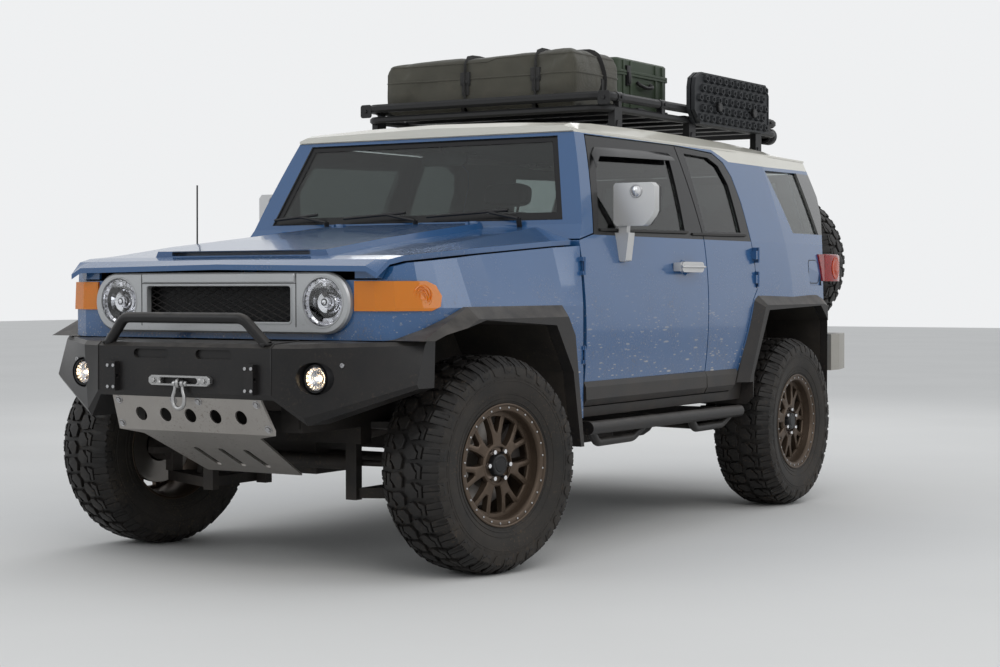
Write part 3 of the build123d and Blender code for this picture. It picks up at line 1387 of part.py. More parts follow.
# Rear bumper corners and the step bar with its receiver. The corner's plan is (x, d).
REAR_CORNER = (
    (640, REAR_FACE_D - 20),
    (738, REAR_FACE_D - 20),
    (812, REAR_FACE_D - 60),
    (880, REAR_FACE_D - 262),
    (930, REAR_FACE_D - 262),
    (930, REAR_FACE_D - 150),
    (886, REAR_FACE_D + 30),
    (820, REAR_FACE_D + 60),
    (640, REAR_FACE_D + 60),
)
with BuildPart() as rear_bumper:
    add(plan_prism(REAR_CORNER, 642, 828))
    add(cabin_block(-FIT), mode=Mode.SUBTRACT)
    add(block(600, 701, 0, FAR, 676, FAR), mode=Mode.SUBTRACT)
    add(front_flare, mode=Mode.SUBTRACT)
    add(rear_flare.moved(Location((0, FIT, 0))), mode=Mode.SUBTRACT)
    mirror(about=Plane.YZ)
save(rear_bumper, "rear_bumper")
with BuildPart() as rear_step:
    add(block(-640 + FIT, 640 - FIT, REAR_FACE_D + 4, REAR_FACE_D + 76, 596, 676))
    add(both_sides(block(RAIL_IN, RAIL_OUT, REAR_FACE_D - 80 + FIT, REAR_FACE_D + 5, 596, 670)))
    add(block(-42, 42, REAR_FACE_D - 60, REAR_FACE_D + 92, 540 - 42, 540 + 42))
    add(block(-30, 30, REAR_FACE_D + 10, REAR_FACE_D + 60, 575, 600))
    with BuildSketch(Plane.XZ.offset(-along(REAR_FACE_D + 92))):
        with Locations((0, 540)):
            Rectangle(RECEIVER, RECEIVER)
    extrude(amount=RECEIVER_DEEP, mode=Mode.SUBTRACT)
    with BuildSketch(Plane.YZ.offset(-60)):
        with Locations((along(REAR_FACE_D + 92 - RECEIVER_PIN_IN), 540)):
            Circle(RECEIVER_PIN_R)
    extrude(amount=120, mode=Mode.SUBTRACT)
save(rear_step, "rear_step")

# Roof rack: a rail, a lower rail, slats, posts and feet that stand on the roof
def rack_ring(z, diameter):
    """Closed rail with bevelled edges around the rack."""
    wide = 2 * RACK_HALF
    long = RACK_REAR_D - RACK_FRONT_D
    with BuildPart() as ring:
        with BuildSketch(Plane.XY.offset(z)):
            with Locations((0, along((RACK_FRONT_D + RACK_REAR_D) / 2))):
                RectangleRounded(wide + diameter, long + diameter, 90)
                RectangleRounded(wide - diameter, long - diameter, 90 - diameter, mode=Mode.SUBTRACT)
        extrude(amount=diameter / 2, both=True)
        chamfer(ring.edges().filter_by(GeomType.LINE).filter_by(Axis.Z, reverse=True), diameter * 0.28)
    return ring.part


with BuildPart() as roof_rack:
    add(rack_ring(RACK_Z, 38))
    add(rack_ring(RACK_LOW_Z, 30))
    for k in range(RACK_SLATS):
        d = RACK_FRONT_D + 120 + k * (RACK_REAR_D - RACK_FRONT_D - 240) / (RACK_SLATS - 1)
        add(block(-RACK_HALF, RACK_HALF, d - 30, d + 30, RACK_LOW_Z + 2, RACK_FLOOR_Z))
    for s in (1, -1):
        for d in (RACK_FRONT_D + 120, 1830, 2400, RACK_REAR_D - 120):
            add(block(s * (RACK_HALF - 14), s * (RACK_HALF + 14), d - 14, d + 14, RACK_LOW_Z, RACK_Z))
        for d in (RACK_FRONT_D + 100, 2130, RACK_REAR_D - 260):
            add(block(s * (RACK_HALF - 16), s * (RACK_HALF + 16), d - 35, d + 35, EAVE_Z, RACK_LOW_Z))
    add(roof_block(0, EAVE_Z - 10).moved(Location((0, 0, FIT))), mode=Mode.SUBTRACT)
    with BuildSketch(Plane.XZ.offset(-along(RACK_REAR_D + 86))):
        with Locations((560, RACK_LOW_Z)):
            Circle(42)
    extrude(amount=76)
save(roof_rack, "roof_rack")

# The bag's section is (x, height over its base).
BAG_SECTION = ((-565, 0), (470, 0), (488, 40), (488, 205), (462, 258), (-545, 240), (-578, 200), (-578, 40))
with BuildPart() as cargo_bag:
    with BuildSketch(Plane.XZ.offset(-along(BAG_REAR_D))):
        Polygon(*[(x, BAG_Z + up) for x, up in BAG_SECTION], align=None)
    extrude(amount=BAG_REAR_D - BAG_FRONT_D)
    fillet(edges().filter_by(Axis.Y), 16)
save(cargo_bag, "cargo_bag")

with BuildPart() as storage_case:
    with BuildSketch(Plane.XY.offset(RACK_FLOOR_Z + FIT)):
        with Locations((0, along((CASE_FRONT_D + CASE_REAR_D) / 2))):
            RectangleRounded(2 * CASE_HALF, CASE_REAR_D - CASE_FRONT_D, 30)
    extrude(amount=CASE_TOP_Z - RACK_FLOOR_Z - FIT)
    with BuildSketch(Plane.XY.offset(CASE_TOP_Z - 62)):
        with Locations((0, along((CASE_FRONT_D + CASE_REAR_D) / 2))):
            RectangleRounded(2 * CASE_HALF + 16, CASE_REAR_D - CASE_FRONT_D + 16, 36)
    extrude(amount=22)
    chamfer(faces().sort_by(Axis.Z)[-1].edges(), 8)
    with BuildSketch(Plane.XZ.offset(-along(CASE_FRONT_D + 9))):
        with Locations(*[(x, CASE_TOP_Z - 118) for x in (-375, -225, -75, 75, 225, 375)]):
            Rectangle(46, 84)
    extrude(amount=17)
save(storage_case, "storage_case")

# Recovery boards, standing on the rack's left side: two boards with rows of nubs
with BuildPart() as recovery_boards:
    with BuildSketch(Plane.YZ.offset(BOARD_X)):
        with Locations((along((BOARD_FRONT_D + BOARD_REAR_D) / 2), (BOARD_LOW_Z + BOARD_TOP_Z) / 2)):
            RectangleRounded(BOARD_REAR_D - BOARD_FRONT_D, BOARD_TOP_Z - BOARD_LOW_Z, 60)
    extrude(amount=BOARD_THICK)
    with BuildSketch(Plane.YZ.offset(BOARD_X + BOARD_THICK)):
        with Locations((along((BOARD_FRONT_D + BOARD_REAR_D) / 2), (BOARD_LOW_Z + BOARD_TOP_Z) / 2)):
            with GridLocations(BOARD_PITCH, BOARD_PITCH, BOARD_COLUMNS, BOARD_ROWS):
                RegularPolygon(14, 4)
    extrude(amount=13, taper=14)
save(recovery_boards, "recovery_boards")

# Wipers. x of the pivot and of the blade's far end.
with BuildPart() as wipers:
    for pivot_x, tip_x in ((-435, -730), (40, -345), (560, 95)):
        add(tube(((pivot_x, COWL_D + 6, 1318), (pivot_x, COWL_D - 6, 1362)), 22, 0))
        add(tube(((pivot_x, COWL_D - 8, 1360), (pivot_x - 150, COWL_D + 6, 1388)), 12, 0))
        add(tube(((tip_x, COWL_D + 4, 1376), (pivot_x - 60, COWL_D + 10, 1396)), 12, 0))
    add(cabin_block(-FIT), mode=Mode.SUBTRACT)
save(wipers, "wipers")
with BuildPart() as whip_antenna:
    add(tube(((-ANTENNA_X, 298, 1150), (-ANTENNA_X, 298, 1226)), 30, 0))
    add(tube(((-ANTENNA_X, 298, 1225), (-ANTENNA_X, 300, 1520)), 7, 0))
    add(nose_block(-FIT), mode=Mode.SUBTRACT)
save(whip_antenna, "whip_antenna")

# Inside. Sections are (d, height).
DASH_SECTION = (
    (FIREWALL_D + DOOR_WALL + FIT, 980),
    (FIREWALL_D + DOOR_WALL + FIT, 1250),
    (820, 1296),
    (1000, 1292),
    (1062, 1240),
    (1052, 1090),
    (950, 980),
)
tilt = (0, cos(radians(24)), sin(radians(24)))
with BuildPart() as dashboard:
    add(side_prism(DASH_SECTION, -DASH_HALF, DASH_HALF))
    add(tube(((WHEEL_X, 1160 - 150 * tilt[1], 1215 - 150 * tilt[2]),
              (WHEEL_X, 1160 - (10 + FIT) * tilt[1], 1215 - (10 + FIT) * tilt[2])), 70, 0))
save(dashboard, "dashboard")
wheel_plane = Plane(origin=(WHEEL_X, along(1160), 1215), x_dir=(1, 0, 0), z_dir=tilt)
with BuildPart() as steering_wheel:
    with BuildSketch(wheel_plane):
        RegularPolygon(192, 24)
        RegularPolygon(164, 24, mode=Mode.SUBTRACT)
    extrude(amount=14, both=True)
    with BuildSketch(wheel_plane):
        with PolarLocations(0, 3, start_angle=90):
            with Locations((88, 0)):
                Rectangle(176, 34)
        RegularPolygon(62, 12)
    extrude(amount=10, both=True)
save(steering_wheel, "steering_wheel")

SEAT_CUSHION = ((1470, 800), (1500, 960), (1930, 930), (1958, 900), (2060, 900), (2060, 800))
SEAT_BACK = ((1958, 900), (2060, 900), (2150, 1420), (2140, 1450), (2050, 1450))
HEADREST = ((2085, 1400), (2115, 1400), (2150, 1590), (2070, 1590))
BENCH = ((2310, 800), (2320, 960), (2700, 930), (2750, 1420), (2830, 1420), (2800, 800))
with BuildPart() as seats:
    for x in (WHEEL_X, -WHEEL_X):
        add(side_prism(SEAT_CUSHION, x - 250, x + 250))
        add(side_prism(SEAT_BACK, x - 240, x + 240))
        add(side_prism(HEADREST, x - 130, x + 130))
        add(block(x - 200, x + 200, 1520, 2000, 616 + FIT, 802))
    add(side_prism(BENCH, -560, 560))
    add(block(-540, 540, 2340, 2780, 786 + FIT, 802))
save(seats, "seats")
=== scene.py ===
"""Looks of the lifted off-road 4x4 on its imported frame. Metres, +Z up, front towards -Y."""
import math
from contextlib import contextmanager

import bmesh
import bpy
from mathutils import Matrix, Vector, noise
from mathutils.bvhtree import BVHTree


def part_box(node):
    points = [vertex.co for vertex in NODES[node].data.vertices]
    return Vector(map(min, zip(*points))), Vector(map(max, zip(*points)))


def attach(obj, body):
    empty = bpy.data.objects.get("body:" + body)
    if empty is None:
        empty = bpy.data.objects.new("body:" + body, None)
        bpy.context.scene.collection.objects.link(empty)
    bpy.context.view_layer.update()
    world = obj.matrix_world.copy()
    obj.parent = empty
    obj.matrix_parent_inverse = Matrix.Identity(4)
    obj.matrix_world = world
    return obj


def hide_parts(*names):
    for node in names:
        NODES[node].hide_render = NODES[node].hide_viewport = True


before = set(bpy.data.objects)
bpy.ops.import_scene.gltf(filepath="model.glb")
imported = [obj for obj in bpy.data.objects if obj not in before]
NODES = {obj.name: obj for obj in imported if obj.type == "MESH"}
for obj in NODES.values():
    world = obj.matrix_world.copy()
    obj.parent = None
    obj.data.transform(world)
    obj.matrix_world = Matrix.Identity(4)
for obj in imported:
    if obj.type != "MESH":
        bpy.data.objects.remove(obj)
MM = 0.001
FRONT_AXLE_Y = -1.510
STEER_AT_REST = math.radians(-10.75)
SIDES = (("left", 1), ("right", -1))


def at(x, d, z):
    """Point in metres from millimetres: x to the left, d behind the front axle, z up."""
    return Vector((x * MM, FRONT_AXLE_Y + d * MM, z * MM))


def link(obj):
    bpy.context.scene.collection.objects.link(obj)
    return obj


# ---------------------------------------------------------------- camera, light, floor

CAMERA_PLACE = at(4728, -6172, 1081)
CAMERA_YAW, CAMERA_PITCH, CAMERA_ROLL = 31.81, 1.42, 0.09
LENS = 69.56
SENSOR_WIDTH = 36
FLOOR_SIZE = 80
FLOOR_COLOR, FLOOR_PALER = (0.68, 0.68, 0.67), (0.71, 0.71, 0.70)
# Name, place, aim, width and height, power and colour
LIGHTS = (
    ("key", (5.5, -5.5, 6.0), (0, 0, 0.8), (5, 4), 150, (1.0, 0.98, 0.95)),
    ("front", (-4.5, -7.5, 4.2), (0, -1.0, 0.8), (5, 3), 75, (0.95, 0.98, 1.0)),
    ("left", (7.5, 3.0, 4.0), (0, 0.6, 1.0), (6, 3), 80, (0.96, 0.98, 1.0)),
    ("rear", (-3.5, 7.0, 5.0), (0, 0, 1.0), (5, 3), 90, (1.0, 1.0, 1.0)),
)


def add_camera():
    """Camera at the photograph's viewing angle."""
    data = bpy.data.cameras.new("camera")
    data.lens = LENS
    data.sensor_width = SENSOR_WIDTH
    camera = link(bpy.data.objects.new("camera", data))
    turn = Matrix.Rotation(math.radians(CAMERA_YAW), 4, "Z")
    tilt = Matrix.Rotation(math.radians(90 - CAMERA_PITCH), 4, "X")
    roll = Matrix.Rotation(math.radians(-CAMERA_ROLL), 4, "Z")
    camera.matrix_world = Matrix.Translation(CAMERA_PLACE) @ turn @ tilt @ roll
    bpy.context.scene.camera = camera


def add_area(name, place, aim, size, power, tint):
    data = bpy.data.lights.new(name, "AREA")
    data.shape = "RECTANGLE"
    data.size, data.size_y = size
    data.energy = power
    data.color = tint
    direction = Vector(aim) - Vector(place)
    light = link(bpy.data.objects.new(name, data))
    light.matrix_world = Matrix.Translation(place) @ direction.to_track_quat("-Z", "Y").to_matrix().to_4x4()


def add_world():
    """Soft sky that lights the object, behind a plain pale one for camera, transmission and glossy rays."""
    world = bpy.data.worlds.new("studio")
    bpy.context.scene.world = world
    world.use_nodes = True
    nodes, join = world.node_tree.nodes, world.node_tree.links.new
    nodes.clear()
    coords, split, ramp, sky, plain, path, mix, output = (nodes.new("ShaderNode" + kind) for kind in (
        "TexCoord", "SeparateXYZ", "ValToRGB", "Background", "Background", "LightPath", "MixShader", "OutputWorld"))
    join(coords.outputs["Generated"], split.inputs[0])
    join(split.outputs["Z"], ramp.inputs[0])
    join(ramp.outputs[0], sky.inputs["Color"])
    stops = ramp.color_ramp.elements
    stops[0].position, stops[0].color = 0.0, (0.30, 0.30, 0.30, 1)
    stops[1].position, stops[1].color = 0.75, (0.95, 0.97, 1.0, 1)
    stops.new(0.16).color = (0.40, 0.42, 0.43, 1)
    sky.inputs["Strength"].default_value = 0.80
    plain.inputs["Color"].default_value = (0.86, 0.87, 0.88, 1)
    plain.inputs["Strength"].default_value = 1.0
    seen = path.outputs["Is Camera Ray"]
    for ray in ("Is Transmission Ray", "Is Glossy Ray"):
        either = nodes.new("ShaderNodeMath")
        either.operation = "MAXIMUM"
        join(seen, either.inputs[0])
        join(path.outputs[ray], either.inputs[1])
        seen = either.outputs[0]
    join(seen, mix.inputs[0])
    join(sky.outputs[0], mix.inputs[1])
    join(plain.outputs[0], mix.inputs[2])
    join(mix.outputs[0], output.inputs[0])


# ---------------------------------------------------------------- materials

class Shade:
    """Builds one node material on the coordinates of the object."""

    def __init__(self, name, color, rough, metal=0.0):
        self.material = bpy.data.materials.new(name)
        self.material.use_nodes = True
        self.material.diffuse_color = (*color, 1)
        self.nodes = self.material.node_tree.nodes
        self.links = self.material.node_tree.links
        self.surface = self.nodes["Principled BSDF"]
        self.set(Base_Color=(*color, 1), Roughness=rough, Metallic=metal)
        self.source = self.nodes.new("ShaderNodeTexCoord")
        self.coords = self.source.outputs["Object"]

    def set(self, **values):
        for name, value in values.items():
            self.surface.inputs[name.replace("_", " ")].default_value = value
        return self

    def link(self, socket, name):
        self.links.new(socket, self.surface.inputs[name])
        return self

    def linked(self, name):
        """Socket that feeds an input of the surface now."""
        return self.surface.inputs[name].links[0].from_socket

    def node(self, kind, **values):
        """New node with its inputs set to numbers or linked to sockets."""
        node = self.nodes.new("ShaderNode" + kind)
        for name, value in values.items():
            socket = node.inputs[name.replace("_", " ")]
            if isinstance(value, bpy.types.NodeSocket):
                self.links.new(value, socket)
            else:
                socket.default_value = value
        return node

    def axis(self, name, source=None):
        """One coordinate of the point, or of another vector."""
        split = self.nodes.new("ShaderNodeSeparateXYZ")
        self.links.new(source or self.coords, split.inputs[0])
        return split.outputs[name]

    def within(self, axis, low, high, soft=0.0015):
        """1 between two places along an axis of the vehicle, and 0 outside them."""
        value = self.axis(axis)
        above = self.steps(value, low - soft, low + soft)
        return self.maths("MULTIPLY", above, self.steps(value, high - soft, high + soft, 1.0, 0.0))

    def stretched(self, scale, slant=0.0):
        """Coordinates scaled along each axis, and turned about the vehicle's cross axis."""
        turn = (math.radians(slant), 0, 0)
        return self.node("Mapping", Scale=scale, Rotation=turn, Vector=self.coords).outputs[0] if scale else self.coords

    def noise(self, scale, detail=4, rough=0.55, stretch=None):
        return self.node("TexNoise", Scale=scale, Detail=detail, Roughness=rough,
                         Vector=self.stretched(stretch)).outputs["Fac"]

    def cells(self, scale, coords=None):
        return self.node("TexVoronoi", Scale=scale, Vector=coords or self.coords).outputs["Distance"]

    def wave(self, scale, stretch):
        node = self.node("TexWave", Scale=scale, Vector=self.stretched(stretch))
        node.bands_direction = "DIAGONAL"
        return node.outputs["Fac"]

    def steps(self, value, low, high, to_low=0.0, to_high=1.0):
        """Value mapped from low..high to to_low..to_high, and held there."""
        return self.node("MapRange", Value=value, From_Min=low, From_Max=high, To_Min=to_low, To_Max=to_high).outputs[0]

    def height(self, low, high):
        """1 at a low place on the vehicle and 0 at a high one."""
        return self.steps(self.axis("Z"), low, high, 1.0, 0.0)

    def maths(self, kind, *values):
        """Two or more values multiplied or compared, held between 0 and 1."""
        result = values[0]
        for value in values[1:]:
            node = self.nodes.new("ShaderNodeMath")
            node.operation = kind
            node.use_clamp = True
            self.links.new(result, node.inputs[0])
            if isinstance(value, (int, float)):
                node.inputs[1].default_value = value
            else:
                self.links.new(value, node.inputs[1])
            result = node.outputs[0]
        return result

    def mix(self, fac, a, b):
        """Colour between a and b, each a colour or a socket."""
        node = self.nodes.new("ShaderNodeMix")
        node.data_type = "RGBA"
        self.links.new(fac, node.inputs[0])
        for socket, value in ((node.inputs[6], a), (node.inputs[7], b)):
            if isinstance(value, tuple):
                socket.default_value = (*value[:3], 1)
            else:
                self.links.new(value, socket)
        return node.outputs[2]

    def cover(self, fac, color):
        """Lays a colour over the base colour by a factor."""
        return self.link(self.mix(fac, self.linked("Base Color"), color), "Base Color")

    def bump(self, height, strength, depth):
        node = self.node("Bump", Strength=strength, Distance=depth, Height=height)
        if self.surface.inputs["Normal"].is_linked:
            self.links.new(self.linked("Normal"), node.inputs["Normal"])
        return self.link(node.outputs[0], "Normal")


DUST = (0.17, 0.135, 0.105)
SETTLED_DUST = (0.115, 0.105, 0.095)
MUD = (0.085, 0.062, 0.043)
DRY_MUD = (0.52, 0.48, 0.42)
PANE_BLACK = (0.010, 0.012, 0.012)
FLECK_SLANT = 38
FLECK_HEIGHTS = (0.50, 1.12)


def dirty(shade, color, rough, low, high, dust, mud, variation=0.12):
    """Base colour with dust and splatter that fade out between two heights, and a rougher surface there."""
    patchy = shade.noise(3.2, 6, 0.6)
    base = shade.mix(shade.steps(patchy, 0.35, 0.7, 0, variation), color, tuple(c * 0.6 for c in color))
    rise = shade.height(low, high)
    film = shade.maths("MULTIPLY", rise, shade.steps(shade.noise(7.5, 8, 0.65), 0.34, 0.72, 0.15, 1.0), dust)
    drops = shade.maths("MAXIMUM", shade.steps(shade.noise(95, 2, 0.5), 0.60, 0.66),
                        shade.steps(shade.noise(260, 1, 0.4), 0.66, 0.70))
    clusters = shade.steps(shade.noise(5.5, 3, 0.5), 0.42, 0.66)
    splatter = shade.maths("MULTIPLY", drops, clusters, rise, mud)
    shade.link(shade.mix(splatter, shade.mix(film, base, DUST), MUD), "Base Color")
    shade.link(shade.steps(shade.maths("MAXIMUM", film, splatter), 0.0, 1.0, rough, 0.85), "Roughness")


def paint(name, color, low, high, dust, mud, dark=None):
    """Glossy two-layer paint with drops of water and mud, and a dark pane within a span of d and of height."""
    shade = Shade(name, color, 0.2)
    dirty(shade, color, 0.24, low, high, dust, mud)
    slanted = shade.stretched((1.0, 0.20, 1.0), FLECK_SLANT)
    flecks = [shade.steps(shade.cells(scale, slanted), edge, edge + 0.05, 1.0, 0.0)
              for scale, edge in ((38, 0.13), (74, 0.16))]
    where = shade.steps(shade.noise(4.2, 5, 0.6), 0.36, 0.50)
    few = shade.steps(shade.noise(24, 2, 0.5), 0.40, 0.47)
    shade.cover(shade.maths("MULTIPLY", shade.maths("MAXIMUM", *flecks), where, few, shade.height(*FLECK_HEIGHTS), mud),
                DRY_MUD)
    if dark:
        shade.cover(shade.maths("MULTIPLY", shade.within("Y", *dark[0]), shade.within("Z", *dark[1])), PANE_BLACK)
    shade.set(Coat_Weight=0.6, Coat_Roughness=0.06)
    shade.bump(shade.steps(shade.cells(150), 0.0, 0.22, 1.0, 0.0), 0.05, 0.0010)
    return shade.material


def plastic(name, color, rough, low=0.0, high=0.1, dust=0.0, mud=0.0, grain=900, settled=0.0):
    """Grained or powder-coated surface with dust in it, and dust settled on what faces up."""
    shade = Shade(name, color, rough)
    dirty(shade, color, rough, low, high, dust, mud)
    if settled:
        upward = shade.steps(shade.axis("Z", shade.source.outputs["Normal"]), 0.35, 0.85)
        patch = shade.steps(shade.noise(14, 5, 0.6), 0.32, 0.62, 0.25, 1.0)
        shade.cover(shade.maths("MULTIPLY", upward, patch, settled), SETTLED_DUST)
    shade.set(Specular_IOR_Level=0.30)
    shade.bump(shade.noise(grain, 2, 0.5), 0.25, 0.0006)
    return shade.material


def metal(name, color, rough, metallic, low, high, dust, mud, brushed=None):
    shade = Shade(name, color, rough, metallic)
    dirty(shade, color, rough, low, high, dust, mud)
    if brushed:
        shade.bump(shade.noise(40, 3, 0.6, brushed), 0.12, 0.0004)
    else:
        shade.bump(shade.noise(300, 3, 0.6), 0.10, 0.0005)
    return shade.material


def clean_metal(name, color, rough):
    shade = Shade(name, color, rough, 1.0)
    shade.link(shade.steps(shade.noise(60, 4, 0.6), 0.3, 0.7, rough * 0.7, rough * 1.5), "Roughness")
    return shade.material


def glass(name, tint, through=1.0, rough=0.0, streaks=0.02):
    shade = Shade(name, tint, rough)
    shade.set(Transmission_Weight=through, IOR=1.45)
    film = shade.steps(shade.noise(9, 5, 0.6, (1, 1, 0.4)), 0.45, 0.8, 0.0, streaks)
    shade.link(shade.mix(film, tint, tuple(min(1.0, c + 0.25) for c in tint)), "Base Color")
    shade.link(shade.steps(film, 0.0, 1.0, rough, 0.35), "Roughness")
    return shade.material


def rubber(name, color, rough, dust):
    shade = Shade(name, color, rough)
    dirty(shade, color, rough, -1.0, 3.0, dust, 0.9, 0.4)
    shade.set(Specular_IOR_Level=0.30)
    shade.bump(shade.noise(500, 3, 0.6), 0.22, 0.0008)
    return shade.material


def fabric(name, color, rough, thread, sheen, dust):
    """Woven cloth: two crossed waves of thread, faded in patches."""
    shade = Shade(name, color, rough)
    weave = shade.maths("MULTIPLY", shade.wave(thread / 6.28, (1, 0.02, 0.02)), shade.wave(thread / 6.28, (0.02, 1, 1)))
    faded = shade.mix(shade.steps(shade.noise(6, 6, 0.6), 0.35, 0.7), color, tuple(c * 1.35 for c in color))
    threads = shade.mix(shade.steps(weave, 0.0, 0.6, 0.35, 0.0), faded, tuple(c * 0.45 for c in color))
    shade.link(shade.mix(shade.steps(shade.noise(11, 6, 0.6), 0.5, 0.8, 0.0, dust), threads, DUST), "Base Color")
    shade.set(Sheen_Weight=sheen, Sheen_Roughness=0.5)
    shade.bump(weave, 0.35, 0.0006)
    shade.bump(shade.noise(35, 4, 0.6), 0.25, 0.003)
    return shade.material


def lit(name, color, strength):
    """Glowing bulb, a little uneven."""
    shade = Shade(name, color, 0.3)
    shade.set(Emission_Color=(*color, 1), Emission_Strength=strength)
    shade.link(shade.steps(shade.noise(50, 2, 0.5), 0.3, 0.7, 0.2, 0.4), "Roughness")
    return shade.material


BLUE = (0.021, 0.094, 0.245)
# The dark pane on the tub spans the gap between the door's and the quarter's glass
TUB_PANE = ((1.70, 1.99), (1.343, 1.664))
M = {
    "blue": paint("blue_paint", BLUE, 0.50, 1.30, 0.10, 1.0),
    "blue_tub": paint("blue_paint_tub", BLUE, 0.50, 1.30, 0.10, 1.0, TUB_PANE),
    "cream": paint("cream_paint", (0.72, 0.70, 0.62), 0.0, 0.1, 0.0, 0.0),
    "flare": plastic("flare_plastic", (0.014, 0.014, 0.015), 0.44, 0.2, 1.6, 0.18, 0.8, settled=0.8),
    "trim": plastic("trim_plastic", (0.016, 0.016, 0.017), 0.42, 0.2, 1.4, 0.28, 0.6),
    "frame_black": plastic("window_frame_black", (0.008, 0.008, 0.009), 0.26, 0.2, 1.2, 0.1, 0.2),
    "liner": plastic("liner_plastic", (0.016, 0.015, 0.014), 0.72, 0.0, 1.6, 0.35, 0.9, 400),
    "bumper": plastic("bumper_coating", (0.009, 0.009, 0.010), 0.38, 0.1, 1.2, 0.12, 0.6, 700, 0.5),
    "chassis": plastic("chassis_paint", (0.016, 0.015, 0.015), 0.60, 0.0, 1.0, 0.28, 0.8, 300),
    "rack": plastic("rack_coating", (0.010, 0.010, 0.011), 0.45),
    "case": plastic("case_green", (0.045, 0.064, 0.040), 0.50, grain=500),
    "board": plastic("board_plastic", (0.022, 0.024, 0.027), 0.55, grain=700),
    "dash": plastic("dash_plastic", (0.045, 0.045, 0.047), 0.62, grain=1200),
    "lining": plastic("cabin_lining", (0.16, 0.16, 0.155), 0.8, grain=800),
    "leather": plastic("ring_leather", (0.020, 0.020, 0.021), 0.48, grain=700),
    "black": plastic("satin_black", (0.012, 0.012, 0.013), 0.38),
    "silver": metal("silver_paint", (0.44, 0.45, 0.46), 0.36, 0.45, 0.4, 1.3, 0.12, 0.4),
    "bright": metal("bright_silver_paint", (0.60, 0.60, 0.60), 0.34, 0.35, 0.0, 1.5, 0.08, 0.2),
    "corner": metal("bumper_corner_paint", (0.36, 0.345, 0.31), 0.42, 0.30, 0.2, 1.2, 0.25, 0.4),
    "skid": metal("skid_metal", (0.40, 0.38, 0.36), 0.38, 0.85, 0.2, 0.9, 0.35, 0.85, (1, 1, 12)),
    "bronze": metal("bronze_wheel", (0.085, 0.060, 0.042), 0.42, 0.60, -1.0, 3.0, 0.16, 0.6),
    "iron": metal("cast_iron", (0.11, 0.10, 0.095), 0.68, 0.6, -1.0, 1.2, 0.55, 0.7),
    "disc": metal("brake_disc", (0.33, 0.31, 0.29), 0.36, 1.0, -1.0, 2.0, 0.2, 0.2),
    "fairlead": metal("fairlead_metal", (0.42, 0.42, 0.42), 0.36, 0.9, 0.2, 1.0, 0.15, 0.3),
    "lens_grey": metal("lamp_reflector_grey", (0.75, 0.75, 0.76), 0.24, 0.8, 0.0, 0.1, 0.0, 0.0),
    "chrome": clean_metal("chrome", (0.80, 0.80, 0.82), 0.07),
    "steel": clean_metal("zinc_steel", (0.42, 0.42, 0.43), 0.34),
    "mirror": clean_metal("mirror_glass", (0.75, 0.77, 0.78), 0.03),
    "tyre": rubber("tyre_tread", (0.009, 0.009, 0.0095), 0.52, 0.12),
    "sidewall": rubber("tyre_sidewall", (0.013, 0.0125, 0.012), 0.62, 0.22),
    "seal": rubber("rubber_seal", (0.016, 0.016, 0.016), 0.55, 0.10),
    "glass": glass("window_glass", (0.36, 0.41, 0.40), streaks=0.05),
    "dark_glass": glass("tinted_glass", (0.075, 0.09, 0.085), streaks=0.04),
    "clear": glass("lens_glass", (0.93, 0.94, 0.95)),
    "amber": glass("amber_lens", (0.95, 0.30, 0.008), 0.42, 0.08),
    "orange": glass("orange_lens", (0.80, 0.085, 0.012), 0.45, 0.10),
    "red": glass("red_lens", (0.55, 0.012, 0.015), 0.6, 0.08),
    "visor": glass("smoked_visor", (0.045, 0.045, 0.048), 0.55, 0.12),
    "canvas": fabric("canvas", (0.066, 0.063, 0.048), 0.85, 1500, 0.25, 0.12),
    "webbing": fabric("webbing", (0.018, 0.018, 0.018), 0.8, 2600, 0.2, 0.1),
    "seat": fabric("seat_cloth", (0.075, 0.075, 0.080), 0.9, 2200, 0.3, 0.05),
    "seat_side": fabric("seat_side_cloth", (0.030, 0.030, 0.032), 0.85, 3000, 0.2, 0.05),
    "lit": lit("fog_light", (1.0, 0.74, 0.45), 5.0),
}


def add_stage():
    """Pale floor under the wheels and soft studio light around them."""
    bpy.ops.mesh.primitive_plane_add(size=FLOOR_SIZE, location=(0, 0, 0))
    floor = bpy.context.object
    floor.name = "floor"
    shade = Shade("floor_pale", FLOOR_COLOR, 0.85)
    speck = shade.steps(shade.noise(0.6, 4, 0.5), 0.3, 0.7)
    shade.link(shade.mix(speck, FLOOR_COLOR, FLOOR_PALER), "Base Color")
    floor.data.materials.append(shade.material)
    add_world()
    for light in LIGHTS:
        add_area(*light)


# ---------------------------------------------------------------- mesh helpers

def angles(count, start=0.0, closed=False):
    """Even angles of one turn, with the first one again at the end where it is closed."""
    return [2 * math.pi * (k + start) / count for k in range(count + closed)]


def to_mesh(name, bm, materials, smooth=None):
    """Mesh from a bmesh, smooth where faces meet at less than the angle."""
    data = bpy.data.meshes.new(name)
    bmesh.ops.recalc_face_normals(bm, faces=bm.faces)
    if smooth is not None:
        for face in bm.faces:
            face.smooth = True
        for edge in bm.edges:
            if len(edge.link_faces) == 2 and edge.calc_face_angle(0.0) > math.radians(smooth):
                edge.smooth = False
    bm.to_mesh(data)
    bm.free()
    for key in materials:
        data.materials.append(M[key])
    return data


def add_object(name, data, body, replaces=None):
    """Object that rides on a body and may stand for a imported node."""
    obj = link(bpy.data.objects.new(name, data))
    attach(obj, body)
    if replaces:
        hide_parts(replaces)
    return obj


@contextmanager
def piece(name, materials, slot, smooth=None, body="body", replaces=None):
    """Empty bmesh that becomes an object when the block ends. Materials are keys, set apart by spaces."""
    bm = bmesh.new()
    yield bm
    add_object(name, to_mesh(name, bm, materials.split(), smooth), body, replaces)


